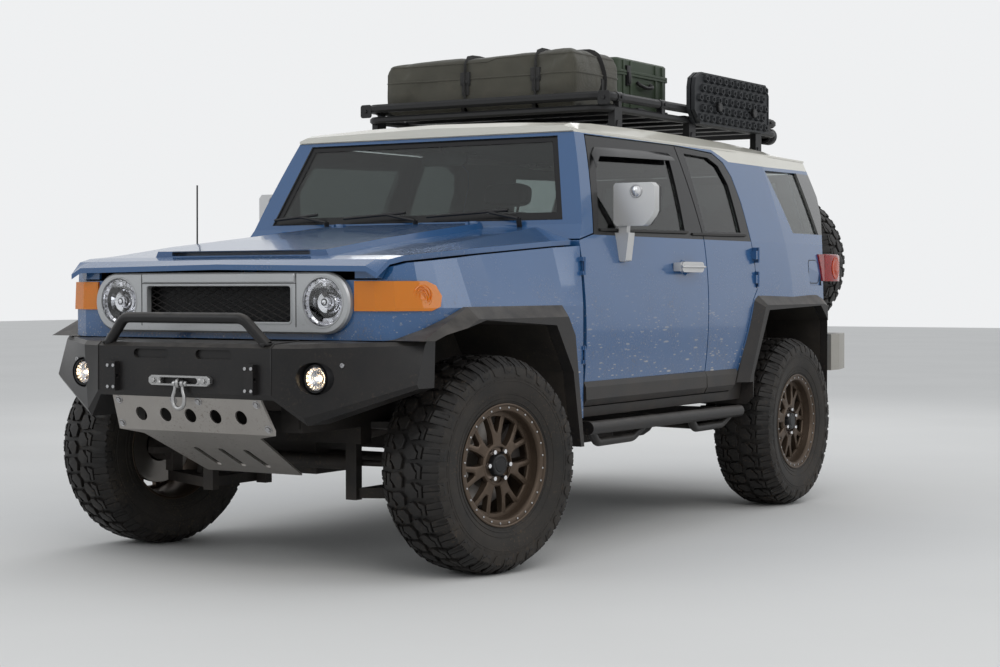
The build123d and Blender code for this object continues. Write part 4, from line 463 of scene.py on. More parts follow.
def add_bands(bm, rings, material=0, open_ends=False):
    """Faces between each ring of vertices and the next. A ring of one vertex is a tip."""
    for a, b in zip(rings, rings[1:]):
        count = max(len(a), len(b))
        for k in range(count - open_ends):
            n = (k + 1) % count
            corners = dict.fromkeys((a[k % len(a)], a[n % len(a)], b[n % len(b)], b[k % len(b)]))
            if len(corners) > 2:
                bm.faces.new(list(corners)).material_index = material


def add_lathe(bm, profile, segments, to_point, closed=False, material=0):
    """Surface of revolution from (along, radius) points, with to_point(along, radius, angle)."""
    rings = [[bm.verts.new(to_point(along, radius, angle)) for angle in (angles(segments) if radius else [0])]
             for along, radius in profile]
    add_bands(bm, rings + rings[:1] if closed else rings, material)


def around(x, d, z, way=1):
    """Point maker for a lathe whose axis runs along the vehicle."""
    return lambda along, radius, angle: at(x + radius * math.sin(angle), d + way * along, z + radius * math.cos(angle))


def across(x, d, z, way=1):
    """Point maker for a lathe whose axis runs across the vehicle."""
    return lambda along, radius, angle: at(x + way * along, d + radius * math.sin(angle), z + radius * math.cos(angle))


def upright(d, way=1, side=1):
    """Point maker for a slab or loop that stands across the vehicle, from (x, z, lift)."""
    return lambda x, z, lift: at(side * x, d + way * lift, z)


def inset(outline, amount):
    """Outline moved inwards by an amount."""
    count = len(outline)
    area = sum(a[0] * b[1] - b[0] * a[1] for a, b in zip(outline, [*outline[1:], outline[0]]))
    points = []
    for k in range(count):
        before, here, after = (Vector(outline[(k + j) % count][:2]) for j in (-1, 0, 1))
        one, two = (here - before).normalized(), (after - here).normalized()
        normal = Vector((-(one.y + two.y), one.x + two.x))
        if normal.length < 1e-9:
            normal = Vector((-one.y, one.x))
        normal.normalize()
        facing = normal.dot(Vector((-one.y, one.x)))
        if area < 0:
            normal, facing = -normal, abs(facing)
        points.append(here + normal * amount / max(0.35, facing))
    return points


def add_slab(bm, outline, to_point, low, high, bevel=0.0, material=0):
    """Closed slab from a flat outline, its upper rim bevelled, with to_point(u, v, lift)."""
    levels = [(low, 0.0)] + ([(high - bevel, 0.0), (high, bevel)] if bevel > 0 else [(high, 0.0)])
    rings = [[bm.verts.new(to_point(p[0], p[1], lift))
              for p in (inset(outline, amount) if amount else [Vector(p[:2]) for p in outline])]
             for lift, amount in levels]
    add_bands(bm, rings, material)
    bm.faces.new(rings[0][::-1]).material_index = material
    bm.faces.new(rings[-1]).material_index = material


def add_box(bm, low, high, bevel=0.0, material=0):
    """Box between two corners in metres, with bevelled edges."""
    verts = bmesh.ops.create_cube(bm, size=1.0)["verts"]
    size = Vector(high) - Vector(low)
    centre = (Vector(high) + Vector(low)) / 2
    for v in verts:
        v.co = Vector((v.co.x * size.x, v.co.y * size.y, v.co.z * size.z)) + centre
    faces = list({f for v in verts for f in v.link_faces})
    if bevel > 0:
        edges = list({e for v in verts for e in v.link_edges})
        result = bmesh.ops.bevel(bm, geom=edges, offset=bevel, segments=2, profile=0.7, affect="EDGES")
        faces = list(set(result["faces"]) | {f for f in faces if f.is_valid})
    for face in faces:
        face.material_index = material


def span(middle, half):
    return middle - half, middle + half


def add_block(bm, x, d, z, bevel=0.0):
    """Box from its spans in millimetres."""
    add_box(bm, at(x[0], d[0], z[0]), at(x[1], d[1], z[1]), bevel * MM)


def frame_of(direction, side=None):
    """Two unit vectors across a direction."""
    direction = direction.normalized()
    guess = Vector(side) if side else (Vector((0, 0, 1)) if abs(direction.z) < 0.9 else Vector((1, 0, 0)))
    one = direction.cross(guess).normalized()
    return one, one.cross(direction).normalized()


def smooth_route(points, steps):
    """Points along a smooth curve through the given ones."""
    points = [Vector(p) for p in points]
    route = []
    for k in range(len(points) - 1):
        before, after = points[max(k - 1, 0)], points[min(k + 2, len(points) - 1)]
        a, b = points[k], points[k + 1]
        for j in range(steps):
            t = j / steps
            route.append(0.5 * ((2 * a) + (b - before) * t + (2 * before - 5 * a + 4 * b - after) * t * t
                                + (3 * a - before - 3 * b + after) * t ** 3))
    return route + points[-1:]


def add_pipe(bm, route, radius, sides=12, cap=True, section=None, up=None):
    """Tube or other section swept along points in metres, with one radius or one for each point."""
    route = [Vector(p) for p in route]
    rings = []
    one = None
    for k, point in enumerate(route):
        ahead = route[min(k + 1, len(route) - 1)] - route[max(k - 1, 0)]
        if up is not None or one is None:
            one, two = frame_of(ahead, up)
        else:
            ahead.normalize()
            one = (one - ahead * one.dot(ahead)).normalized()
            two = one.cross(ahead)
        size = radius[k] if isinstance(radius, (list, tuple)) else radius
        if section:
            ring = [point + one * u + two * v for u, v in section]
        else:
            ring = [point + (one * math.cos(a) + two * math.sin(a)) * size for a in angles(sides)]
        rings.append([bm.verts.new(p) for p in ring])
    add_bands(bm, rings)
    if cap:
        bm.faces.new(rings[0])
        bm.faces.new(rings[-1][::-1])


def add_hex(bm, centre, axis, radius, depth, material=0, bevel=0.15):
    """Bolt head or nut standing on a point, with its top rim broken."""
    axis = Vector(axis).normalized()
    one, two = frame_of(axis)
    rings = [[bm.verts.new(Vector(centre) + axis * lift + (one * math.cos(a) + two * math.sin(a)) * radius * size)
              for a in angles(6)] for lift, size in ((0, 1), (depth * (1 - bevel), 1), (depth, 1 - bevel))]
    add_bands(bm, rings, material)
    bm.faces.new(rings[-1]).material_index = material
    bm.faces.new(rings[0][::-1]).material_index = material


def add_loop(bm, inner, outer, to_point, section):
    """Closed band between two outlines with as many points each. Section rows are (share outwards, lift)."""
    rings = [[bm.verts.new(to_point(a[0] + (b[0] - a[0]) * share, a[1] + (b[1] - a[1]) * share, lift))
              for a, b in zip(inner, outer)] for share, lift in section]
    add_bands(bm, rings + rings[:1])


def both_sides(bm):
    """Adds the mirror image of the whole mesh across the vehicle's middle."""
    copy = bmesh.ops.duplicate(bm, geom=bm.verts[:] + bm.edges[:] + bm.faces[:])
    for item in copy["geom"]:
        if isinstance(item, bmesh.types.BMVert):
            item.co.x = -item.co.x
    bmesh.ops.reverse_faces(bm, faces=[item for item in copy["geom"] if isinstance(item, bmesh.types.BMFace)])


def oval(x, z, wide, high, count, start=0.0):
    return [(x + wide * math.cos(a), z + high * math.sin(a)) for a in angles(count, start)]


def stadium(half, radius, count, z):
    """Outline of a slot with round ends, with evenly turned points."""
    return [(math.copysign(half - radius, math.cos(a)) + radius * math.cos(a), z + radius * math.sin(a))
            for a in angles(count, 0.5)]


def rounded(x0, x1, z0, z1, radius, steps=4):
    """Outline of a rectangle with round corners."""
    points = []
    for cx, cz, start in ((x1 - radius, z1 - radius, 0), (x0 + radius, z1 - radius, 90),
                          (x0 + radius, z0 + radius, 180), (x1 - radius, z0 + radius, 270)):
        for k in range(steps + 1):
            angle = math.radians(start + 90 * k / steps)
            points.append((cx + radius * math.cos(angle), cz + radius * math.sin(angle)))
    return points


# ---------------------------------------------------------------- wheels

PITCHES = 36
TREAD_DEPTH = 13
TREAD_EDGE = 139
TREAD_FACE_R = 0.374
# Half of the tyre's outside, as (x, radius)
CROWN = ((0, 411), (50, 410.5), (90, 408), (112, 403), (128, 396), (139, 386))
WALL = ((139, 374), (143, 366), (146, 350), (147, 335), (146, 312), (142, 285), (136, 262), (129, 241), (123, 228),
        (118, 218), (104, 214))
WALL_X = tuple((r, x) for x, r in reversed(WALL[:-1]))


def between(table, x):
    """Value of a table of (x, value) rows at x."""
    for (x0, v0), (x1, v1) in zip(table, table[1:]):
        if x <= x1:
            return v0 + (v1 - v0) * (x - x0) / (x1 - x0)
    return table[-1][1]


def wheel_point(x, radius, angle):
    return Vector((x * MM, radius * MM * math.sin(angle), radius * MM * math.cos(angle)))


def tread_point(x, degrees, lift):
    """Point on the tread from x in mm, an angle in degrees and a lift over the groove floor."""
    over = max(abs(x) - TREAD_EDGE, 0)
    radius = between(CROWN, min(abs(x), TREAD_EDGE)) - TREAD_DEPTH + lift - over * 1.9
    side = math.copysign(min(abs(x), TREAD_EDGE) + over * 0.35 + (lift * 0.25 if over else 0), x)
    return wheel_point(side, radius, math.radians(degrees))


# Blocks of one pitch on one half of the tread, as (x, degrees) outlines
CENTRE_BLOCK = ((5, -1.2), (24, -4.1), (60, -3.4), (66, -0.4), (54, 1.2), (36, 4.2), (12, 3.6))
INNER_BLOCK = ((70, -2.9), (83, -3.4), (88, 2.6), (58, 4.4), (60, 1.8), (71, 0.6))
SHOULDER_LONG = ((93, -3.7), (144, -3.9), (158, -3.2), (158, 0.2), (144, -0.35), (94, -0.35))
SHOULDER_MATE = ((94, 0.15), (144, 0.15), (157, 0.7), (157, 3.6), (144, 4.1), (98, 3.2))


def make_tyre():
    """Tyre around the X axis: carcass, staggered tread blocks and biters on the sidewalls."""
    bm = bmesh.new()
    half = [(x, r - TREAD_DEPTH) for x, r in CROWN] + list(WALL)
    add_lathe(bm, [(-x, r) for x, r in reversed(half)] + half[1:], 144, wheel_point)
    for face in bm.faces:
        face.material_index = (face.calc_center_median() * Vector((0, 1, 1))).length <= TREAD_FACE_R
    for s in (1, -1):
        for pitch in range(PITCHES):
            middle = 360 / PITCHES * (pitch + (0.5 if s < 0 else 0))
            stretch = 1.0 + 0.06 * math.sin(pitch * 1.7)

            def on_tread(x, degrees, lift):
                return tread_point(s * x, middle + s * degrees * stretch, lift)

            def on_wall(radius, degrees, lift):
                return wheel_point(s * (between(WALL_X, radius) + lift), radius, math.radians(middle + degrees))

            for outline in (CENTRE_BLOCK, INNER_BLOCK):
                add_slab(bm, outline, on_tread, -1.0, TREAD_DEPTH, 0.9)
            reach = -10 if pitch % 2 else 0
            for outline in (SHOULDER_LONG, SHOULDER_MATE):
                moved = [(x + (reach if x > 150 else 0), a) for x, a in outline]
                add_slab(bm, moved, on_tread, -1.5, TREAD_DEPTH, 0.9)
            inner = 336 if pitch % 2 else 350
            add_slab(bm, ((371, -3.6), (371, 3.4), (inner + 8, 2.4), (inner, 0.4), (inner + 6, -2.6)),
                     on_wall, -1.0, 4.2, 0.8, 1)
            add_slab(bm, ((331, -3.9), (331, 3.9), (327, 3.9), (327, -3.9)), on_wall, -0.6, 1.3, material=1)
        for radius, wide, lift in ((318, 3, 1.2), (268, 2.5, 1.6), (246, 5, 2.2)):
            ridge = ((-wide, 0), (1 - wide, lift), (wide - 1, lift), (wide, 0))
            add_lathe(bm, [(s * (between(WALL_X, radius + r) + h), radius + r) for r, h in ridge], 144, wheel_point,
                      material=1)
    return to_mesh("tyre_detail", bm, ("tyre", "sidewall"), 28)


SPOKES = 7
RING_BOLTS = 28
WHEEL_NUTS = 6
# Half of a spoke's outline, as (radius, degrees)
SPOKE = ((70, -20), (92, -13.6), (120, -12.6), (158, -14.2), (193, -16.4), (193, -9.2), (160, -7.0), (134, -4.6),
         (124, -2.2))
RIM_BARREL = ((-118, 226), (-124, 222), (-118, 214), (-96, 208), (-70, 196), (60, 196), (84, 196), (84, 200),
              (112, 204))
RIM_OUTER = ((112, 200), (118, 202), (123, 206), (125, 211), (125, 222), (129, 224), (131, 228), (129, 232), (122, 231),
             (118, 219))
RIM_LIP = ((64, 197), (64, 184), (70, 181), (78, 181), (83, 184), (84, 197))
HUB = ((12, 74), (60, 76), (80, 84), (90, 80), (94, 74), (94, 70), (82, 68), (82, 42))
HUB_CAP = ((82, 43), (98, 42), (104, 39), (106, 34), (105, 27), (107, 25), (108, 0))
BRAKE_DISC = ((-14, 70), (-14, 158), (-12, 160), (8, 160), (10, 158), (10, 92), (12, 88), (60, 80))


def make_rim(disc=True):
    """Rim around the X axis: barrel, bolted outer ring, seven split spokes, hub, nuts and cap."""
    bm = bmesh.new()
    for profile in (RIM_BARREL, RIM_OUTER, RIM_LIP):
        add_lathe(bm, profile, 112, wheel_point)
    outline = list(SPOKE) + [(r, -a) for r, a in reversed(SPOKE)]
    for k in range(SPOKES):

        def on_spoke(radius, degrees, lift):
            dish = 8 * (1 - min(max((radius - 80) / 110, 0), 1))
            return wheel_point(lift + dish * (lift > 60), radius, math.radians(degrees + 360 / SPOKES * k))

        add_slab(bm, outline, on_spoke, 58, 84, 3.0)
        for s in (1, -1):
            rib = ((150, s * 9.0), (186, s * 11.2), (186, s * 14.0), (150, s * 12.0))
            add_slab(bm, rib, on_spoke, 82, 85.4, 1.2)
    add_lathe(bm, HUB, 84, wheel_point)
    for angle in angles(RING_BOLTS, 0.5):
        add_hex(bm, wheel_point(124.5, 216.5, angle), (1, 0, 0), 0.0042, 0.0035, 1)
    for angle in angles(WHEEL_NUTS, 0.5):
        add_hex(bm, wheel_point(80, 57, angle), (1, 0, 0), 0.0115, 0.026, 2, 0.25)
    add_lathe(bm, HUB_CAP, 64, wheel_point, material=3)
    if disc:
        add_lathe(bm, BRAKE_DISC, 96, wheel_point, material=4)
    return to_mesh("rim_detail", bm, ("bronze", "steel", "chrome", "black", "disc"), 26)


# Name, heading of the wheel's outer side and turn about its axle
WHEELS = (
    ("front_left", STEER_AT_REST, 0.0),
    ("front_right", STEER_AT_REST + math.pi, 0.9),
    ("rear_left", 0.0, 0.45),
    ("rear_right", math.pi, 1.3),
)


def add_wheel(name, body, tyre_node, rim_node, heading, turn, tyre, rim):
    """Tyre and rim at one wheel. The heading turns +X to the wheel's outer side."""
    low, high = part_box(tyre_node)
    place = Matrix.Translation((low + high) / 2) @ Matrix.Rotation(heading, 4, "Z") @ Matrix.Rotation(turn, 4, "X")
    for label, data, node, slot in (("tyre", tyre, tyre_node, "tyre"), ("rim", rim, rim_node, "rim_bronze")):
        own = data.copy()
        own.transform(place)
        add_object(f"{label}_detail_{name}", own, body, node)


def add_wheels():
    tyre, rim = make_tyre(), make_rim()
    for name, heading, turn in WHEELS:
        add_wheel(name, "wheel_" + name, "tyre_" + name, "rim_" + name, heading, turn, tyre, rim)
    add_wheel("spare", "tailgate", "spare_tyre", "spare_rim", math.pi / 2, 0.3, tyre, make_rim(disc=False))


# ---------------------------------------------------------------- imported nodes

DOORS = tuple(f"door_{end}_{side}" for end in ("front", "rear") for side in ("left", "right"))
FINISH = {
    "blue": ("front_fenders", "hood", "tailgate", *DOORS),
    "blue_tub": ("body_tub",),
    "cream": ("roof_panel",),
    "silver": ("grille_surround",),
    "corner": ("rear_bumper",),
    "bright": ("mirror_left", "mirror_right"),
    "black": ("grille_mesh", "whip_antenna", "wipers", "steering_wheel"),
    "flare": ("wheel_flares",),
    "liner": ("wheel_liners",),
    "bumper": ("front_bumper", "rock_sliders", "rear_step"),
    "steel": ("winch_fairlead",),
    "skid": ("skid_plate",),
    "rack": ("roof_rack",),
    "chassis": ("ladder_frame", "front_suspension", "rear_axle", "fuel_tank"),
    "iron": ("drivetrain", "exhaust", "engine_block", "knuckle_left", "knuckle_right"),
    "glass": ("fixed_windows",),
    "dark_glass": ("window_front_left", "window_front_right", "window_rear_left", "window_rear_right",
                   "tailgate_window"),
    "clear": ("front_lamps",),
    "amber": ("turn_signals",),
    "red": ("tail_lamps",),
    "canvas": ("cargo_bag",),
    "case": ("storage_case",),
    "board": ("recovery_boards",),
    "dash": ("dashboard",),
    "seat": ("seats",),
}


def door_face(low, high, way, middle):
    """Material of one face of a door from its corners and its direction (+X outwards). Its middle is not used."""
    if high.z < 0.692 and max(abs(low.x), abs(high.x)) > 0.85:
        return "trim"
    if low.z > 1.128 and high.z < 1.196 and min(abs(low.x), abs(high.x)) > 0.9135:
        return "bright"
    if low.z > 1.288:
        return "frame_black"
    return "dash" if way.x < -0.25 else None


def tub_face(low, high, way, middle):
    if high.z < 0.70 and way.x > 0.25 and -0.9 < middle.y < 0.9:
        return "trim"
    if way.z < -0.5 and high.z < 0.80:
        return "chassis"
    if way.z > 0.5 and high.z < 0.80:
        return "dash"
    if way.x < -0.25 or (way.y > 0.5 and middle.y < 0) or (way.y < -0.5 and middle.y > 1.6):
        return "lining" if middle.z > 1.29 else "dash"
    return "chassis" if way.y < -0.5 and middle.y < -0.8 and high.z < 1.27 else None


def gate_face(low, high, way, middle):
    if low.y > 1.9435:
        return "bumper"
    return "dash" if way.y < -0.3 else None


FACE_RULES = {
    "body_tub": tub_face,
    "tailgate": gate_face,
    "front_fenders": lambda low, high, way, middle: "chassis" if way.x < -0.3 or way.y > 0.5 else None,
    "roof_panel": lambda low, high, way, middle: "lining" if way.z < -0.3 else None,
    "hood": lambda low, high, way, middle: "chassis" if way.z < -0.3 else None,
    **dict.fromkeys(DOORS, door_face),
}


def dress_faces(data, key, rule):
    """Gives each face of a node the material that its rule names, or keeps the node's own."""
    keys = [key]
    for face in data.polygons:
        corners = [data.vertices[k].co for k in face.vertices]
        low, high = (Vector([pick(c[k] for c in corners) for k in range(3)]) for pick in (min, max))
        way = face.normal.copy()
        way.x = way.x if face.center.x > 0 else -way.x
        found = rule(low, high, way, face.center)
        if found:
            if found not in keys:
                keys.append(found)
                data.materials.append(M[found])
            face.material_index = keys.index(found)


def dress_nodes():
    """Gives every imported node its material, and some of them one for each kind of face."""
    for key, names in FINISH.items():
        for name in names:
            data = NODES[name].data
            data.materials.clear()
            data.materials.append(M[key])
            if name in FACE_RULES:
                dress_faces(data, key, FACE_RULES[name])


# ---------------------------------------------------------------- front of the vehicle

HEADLIGHT = (494, -560, 1022)
FOG_LAMP = (557, -688, 751)
SIGNAL_FACE = ((622, -540), (700, -530), (760, -498), (812, -440), (842, -390), (860, -328))
SIGNAL_Z = 1044
SIGNAL_LENGTH = 372
GRILLE_D = -566
BUMPER_D = -765.5
FAIRLEAD_Z = 735


def add_front_lamps():
    """Faceted reflectors behind domed lenses, with bulbs, and lit fog lamps in the bumper."""
    head, fog = around(*HEADLIGHT, -1), around(*FOG_LAMP, -1)
    bowl = ((3, 89), (-12, 86), (-26, 79), (-40, 68), (-52, 53), (-60, 36), (-64, 16), (-64, 0))
    with piece("lamp_reflectors", "chrome", "lamp_glass") as bm:
        add_lathe(bm, bowl, 30, head)
        add_lathe(bm, ((-24, 0), (-24.5, 8), (-28, 13), (-44, 15), (-44, 11)), 24, head)
        add_lathe(bm, ((2, 42), (-10, 39), (-22, 28), (-26, 12), (-26, 0)), 20, fog)
        both_sides(bm)
    shell = ((0, 89), (3, 88), (8, 72), (11.5, 48), (13.5, 22), (14, 0), (11.5, 0), (11, 22), (9, 47), (6, 69), (0, 85))
    with piece("lamp_lenses", "clear", "lamp_glass", 40, replaces="front_lamps") as bm:
        add_lathe(bm, shell, 56, head)
        add_lathe(bm, ((0, 43), (3, 42), (6, 24), (7, 0), (5, 0), (4, 23), (1, 40), (-1, 41)), 40, fog)
        x, d, z = FOG_LAMP
        for k in range(-3, 4):
            half = math.sqrt(38 ** 2 - (k * 10) ** 2)
            rib = [at(x + k * 10, d - out, z + up) for out, up in ((3, -half), (5, 0), (3, half))]
            add_pipe(bm, rib, 0.0012, 6)
        both_sides(bm)
    with piece("lamp_bezels", "silver", "silver_paint", 35) as bm:
        add_lathe(bm, ((-8, 89), (5, 88.5), (8, 90), (8, 94), (3, 95.5), (-8, 95.5)), 64, head, True)
        both_sides(bm)
    with piece("fog_housings", "black", "black_plastic", 35) as bm:
        add_lathe(bm, ((-30, 42), (5, 43), (8, 45), (8, 50), (2, 52), (-30, 52)), 48, fog, True)
        add_lathe(bm, ((-46, 57.5), (8, 57.5), (-28, 52), (-46, 52)), 48, fog, True)
        both_sides(bm)
    with piece("fog_bulbs", "lit", "lamp_glass", 60) as bm:
        add_lathe(bm, ((-26, 5), (-14, 6), (-9, 4), (-7, 0)), 16, fog)
        both_sides(bm)


def signal_point(share, z, lift):
    """Point on the signal's curved face, from its inner edge at 0 to its outer end at 1."""
    spans = [math.dist(a, b) for a, b in zip(SIGNAL_FACE, SIGNAL_FACE[1:])]
    goal = share * sum(spans)
    for a, b, length in zip(SIGNAL_FACE, SIGNAL_FACE[1:], spans):
        if goal <= length or b == SIGNAL_FACE[-1]:
            t = goal / length
            way = ((b[1] - a[1]) / length, -(b[0] - a[0]) / length)
            return at(a[0] + (b[0] - a[0]) * t + way[0] * lift, a[1] + (b[1] - a[1]) * t + way[1] * lift, z)
        goal -= length


def add_signals():
    """Ribs and the rings of a round lamp on the amber signals."""
    with piece("signal_ribs", "amber", "amber_lens", 50) as bm:
        for k in range(11):
            add_pipe(bm, [signal_point(0.05 + k * 0.052, z, 1.0) for z in (998, 1020, 1044, 1068, 1090)], 0.0022, 6)
        for radius, lift, thick in ((38, 1.6, 0.0030), (27, 3.2, 0.0022), (14, 4.2, 0.0022)):
            ring = [signal_point(0.74 + radius * math.cos(a) / SIGNAL_LENGTH, SIGNAL_Z + radius * math.sin(a), lift)
                    for a in angles(40, closed=True)]
            add_pipe(bm, ring, thick, 6, cap=False)
        both_sides(bm)


def add_grille():
    """Radiator behind the mesh, the woven wires, a surround strip and the top strip with its seams."""
    with piece("radiator_fins", "black", "black_plastic") as bm:
        add_block(bm, (-352, 352), (-512, -500), (944, 1084))
        for k in range(24):
            z = 948 + k * 5.7
            add_block(bm, (-350, 350), (-514.5, -512), (z, z + 2.2))
    rise = 12.2
    with piece("grille_wires", "trim", "black_plastic", 60, replaces="grille_mesh") as bm:
        for row in range(11):
            wire = [at(-350 + 28 * k, -538, 954 + row * rise + rise * (0.5 if (k + row) % 2 else -0.5))
                    for k in range(26)]
            add_pipe(bm, wire, 0.0026, 6, cap=False)
    with piece("mesh_surround", "silver", "silver_paint", 30) as bm:
        add_loop(bm, rounded(-348, 348, 948, 1080, 12), rounded(-356, 356, 940, 1088, 16), upright(GRILLE_D, -1),
                 ((0, -24), (0, 0), (0.3, 2.2), (0.9, 2.2), (1, 0), (1, -3)))
    strip = ((-366, 1094), (366, 1094), (371, 1120), (366, 1127), (-366, 1127), (-371, 1120))
    with piece("grille_strip", "silver", "silver_paint", 30) as bm:
        add_slab(bm, strip, upright(GRILLE_D, -1), -2, 5.5, 2.4)
    with piece("grille_seams", "seal", "black_plastic") as bm:
        for s in (1, -1):
            add_block(bm, span(s * 374, 1.6), (GRILLE_D - 1.2, -560), (930, 1126))
        add_block(bm, (-372, 372), (GRILLE_D - 1.2, -560), (1089.5, 1092))


def add_bumper_details():
    """Bolts and plugs of the steel bumper, and the weld seams of its hoop and side plates."""
    with piece("bumper_bolts", "steel", "black_steel", 30) as bm:
        for s in (1, -1):
            for z in (705, 785):
                for x in (316, 344):
                    add_hex(bm, at(s * x, -788, z), (0, -1, 0), 0.007, 0.005)
            add_lathe(bm, ((0, 9), (3, 8.5), (3, 5.5), (0.5, 5), (0.5, 0)), 20, around(s * 640, -644, 798, -1))
    with piece("bumper_welds", "bumper", "black_steel", 60) as bm:
        for s in (1, -1):
            foot = at(s * 380, -742, 872)
            ring = [foot + Vector((math.cos(a) * 0.024, math.sin(a) * 0.024, 0.001)) for a in angles(20, closed=True)]
            add_pipe(bm, ring, 0.004, 6, cap=False)
            seam = ((BUMPER_D, 690), (BUMPER_D, 858), (-748.5, 872.5), (-600, 880.5))
            add_pipe(bm, [at(s * 415, d, z) for d, z in seam], 0.0028, 6)


def edge_point(corners, ray):
    """Where a ray from the middle of an outline leaves it."""
    hits = []
    for (ax, az), (bx, bz) in zip(corners, corners[1:] + corners[:1]):
        ex, ez = bx - ax, bz - az
        cross = ray[0] * ez - ray[1] * ex
        if abs(cross) > 1e-9 and -1e-6 <= (ax * ray[1] - az * ray[0]) / cross <= 1 + 1e-6:
            hits.append((ax * ez - az * ex) / cross)
    reach = min(hit for hit in hits if hit > 0)
    return ray[0] * reach, ray[1] * reach


def add_fairlead():
    """Hawse fairlead with a lipped slot, two bolts and a bow shackle hanging from it."""
    flat = 3.2
    inner = stadium(88, 11, 48, FAIRLEAD_Z)
    corners = ((147, -9), (147, 9), (110, 34), (-110, 34), (-147, 9), (-147, -9), (-110, -34), (110, -34))
    outer = []
    for x, z in inner:
        angle = math.atan2((z - FAIRLEAD_Z) * flat, x)
        u, v = edge_point(corners, (math.cos(angle), math.sin(angle) / flat))
        outer.append((u, FAIRLEAD_Z + v))
    section = ((0.0, 1), (0.0, 17), (0.03, 21), (0.10, 24), (0.22, 24), (0.30, 20), (0.94, 20), (1.0, 17), (1.0, 1))
    with piece("fairlead_detail", "fairlead", "black_steel", 35, replaces="winch_fairlead") as bm:
        add_loop(bm, inner, outer, upright(BUMPER_D, -1), section)
        for s in (1, -1):
            add_lathe(bm, ((18, 15), (21.5, 14.5), (21.5, 12)), 24, around(s * 120, BUMPER_D, FAIRLEAD_Z, -1))
            add_hex(bm, at(s * 120, -785, FAIRLEAD_Z), (0, -1, 0), 0.010, 0.008)
    half_bow = ((17, -782, 722), (19, -783, 700), (27, -784, 672), (22, -784, 644))
    with piece("bow_shackle", "fairlead", "black_steel", 50) as bm:
        bow = smooth_route([at(-x, d, z) for x, d, z in half_bow] + [at(0, -784, 632)]
                           + [at(*p) for p in reversed(half_bow)], 6)
        add_pipe(bm, bow, [0.0062 + 0.0016 * math.sin(math.pi * k / (len(bow) - 1)) for k in range(len(bow))], 14)
        for s in (1, -1):
            add_lathe(bm, ((-7, 9), (-5, 12), (5, 12), (7, 9), (7, 0)), 24, across(s * 17, -782, 724))
        add_pipe(bm, [at(-30, -782, 724), at(30, -782, 724)], 0.0062, 14)
        add_hex(bm, at(30, -782, 724), (1, 0, 0), 0.0105, 0.008)
        rope = ((0, -762, 735), (0, -790, 737), (2, -797, 726), (0, -790, 714), (-2, -776, 716))
        add_pipe(bm, smooth_route([at(*p) for p in rope], 5), 0.0065, 12)


def add_skid_details():
    """Bolts of the skid plate in their rings."""
    fall = Vector((0, -131.7, -61)).normalized()
    with piece("skid_bolts", "steel", "silver_paint", 35) as bm:
        for s in (1, -1):
            for x, share in ((330, 0.13), (352, 0.82), (60, 0.1)):
                place = at(s * x, -751 + 61 * share, 671.7 - 131.7 * share)
                ring = [place + Vector((math.cos(a) * 0.014, 0, 0)) + Vector((0, -fall.z, fall.y)) * math.sin(a) * 0.014
                        + fall * 0.001 for a in angles(24, closed=True)]
                add_pipe(bm, ring, 0.0018, 6, cap=False)
                add_hex(bm, place, fall, 0.0095, 0.006)


def add_scoop():
    """Fine black mesh in the hood's scoop."""
    with piece("scoop_mesh", "black", "black_plastic", body="hood") as bm:
        for row in range(3):
            for k in range(48):
                x, z = -331 + k * 14 + (7 if row % 2 else 0), 1203 + row * 5.5
                if x < 331:
                    add_loop(bm, oval(x, z, 4.2, 1.6, 6), oval(x, z, 5.4, 2.4, 6), upright(-433, -1),
                             ((0, 0), (0, 1.2), (1, 1.2), (1, 0)))


# ---------------------------------------------------------------- sides

MIRROR_SHELL = ((862, 1510), (1028, 1510), (1044, 1494), (1044, 1392), (1034, 1372), (1004, 1336), (990, 1330),
                (866, 1330), (852, 1344), (852, 1500))
MIRROR_NECK = ((872, 1340), (912, 1340), (910, 1290), (874, 1290))
MIRROR_FOOT = ((856, 1302), (926, 1302), (926, 1294), (912, 1186), (904, 1181), (887, 1181), (880, 1188), (856, 1292))
MIRROR_FACE = ((858, 1505), (1030, 1505), (1039, 1497), (1039, 1396), (996, 1335), (858, 1335))
MIRROR_GLASS = ((870, 1494), (1024, 1494), (1029, 1489), (1029, 1400), (990, 1346), (870, 1346))
MIRROR_LAMP = (959, 1474)


def add_mirror(side, s, body):
    """Mirror on its door foot, with the glass in its rim and a round lamp in front."""
    with piece(f"mirror_housing_{side}", "bright", "silver_paint", 40, body, f"mirror_{side}") as bm:
        add_slab(bm, MIRROR_SHELL, upright(982, 1, s), 0, 56, 11)
        add_slab(bm, MIRROR_NECK, upright(990, 1, s), 0, 40, 9)
        add_slab(bm, MIRROR_FOOT, upright(977, 1, s), 0, 62, 7)
    rear = upright(1047, 1, s)
    with piece(f"mirror_rim_{side}", "black", "black_plastic", 25, body) as bm:
        add_loop(bm, MIRROR_GLASS, MIRROR_FACE, rear,
                 ((0, 0), (0, 8), (0.5, 12), (1, 8), (1.06, 0), (1.06, -14), (1.0, -14)))
    with piece(f"mirror_glass_{side}", "mirror", "glass", None, body) as bm:
        add_slab(bm, MIRROR_GLASS, rear, 1, 4, 0.8)
    x, z = s * MIRROR_LAMP[0], MIRROR_LAMP[1]
    with piece(f"mirror_lamp_rim_{side}", "steel", "silver_paint", 30, body) as bm:
        add_lathe(bm, ((-2, 30), (5, 29), (7, 27), (7, 24), (5, 23.5)), 40, around(x, 985, z, -1))
    with piece(f"mirror_lamp_{side}", "lens_grey", "lamp_glass", 30, body) as bm:
        add_lathe(bm, ((4, 24), (6.5, 18), (8, 9), (8.4, 0)), 32, around(x, 985, z, -1))
        for a in angles(6):
            add_pipe(bm, [at(x, 977, z), at(x + 20 * math.sin(a), 978.5, z + 20 * math.cos(a))], 0.0012, 6)


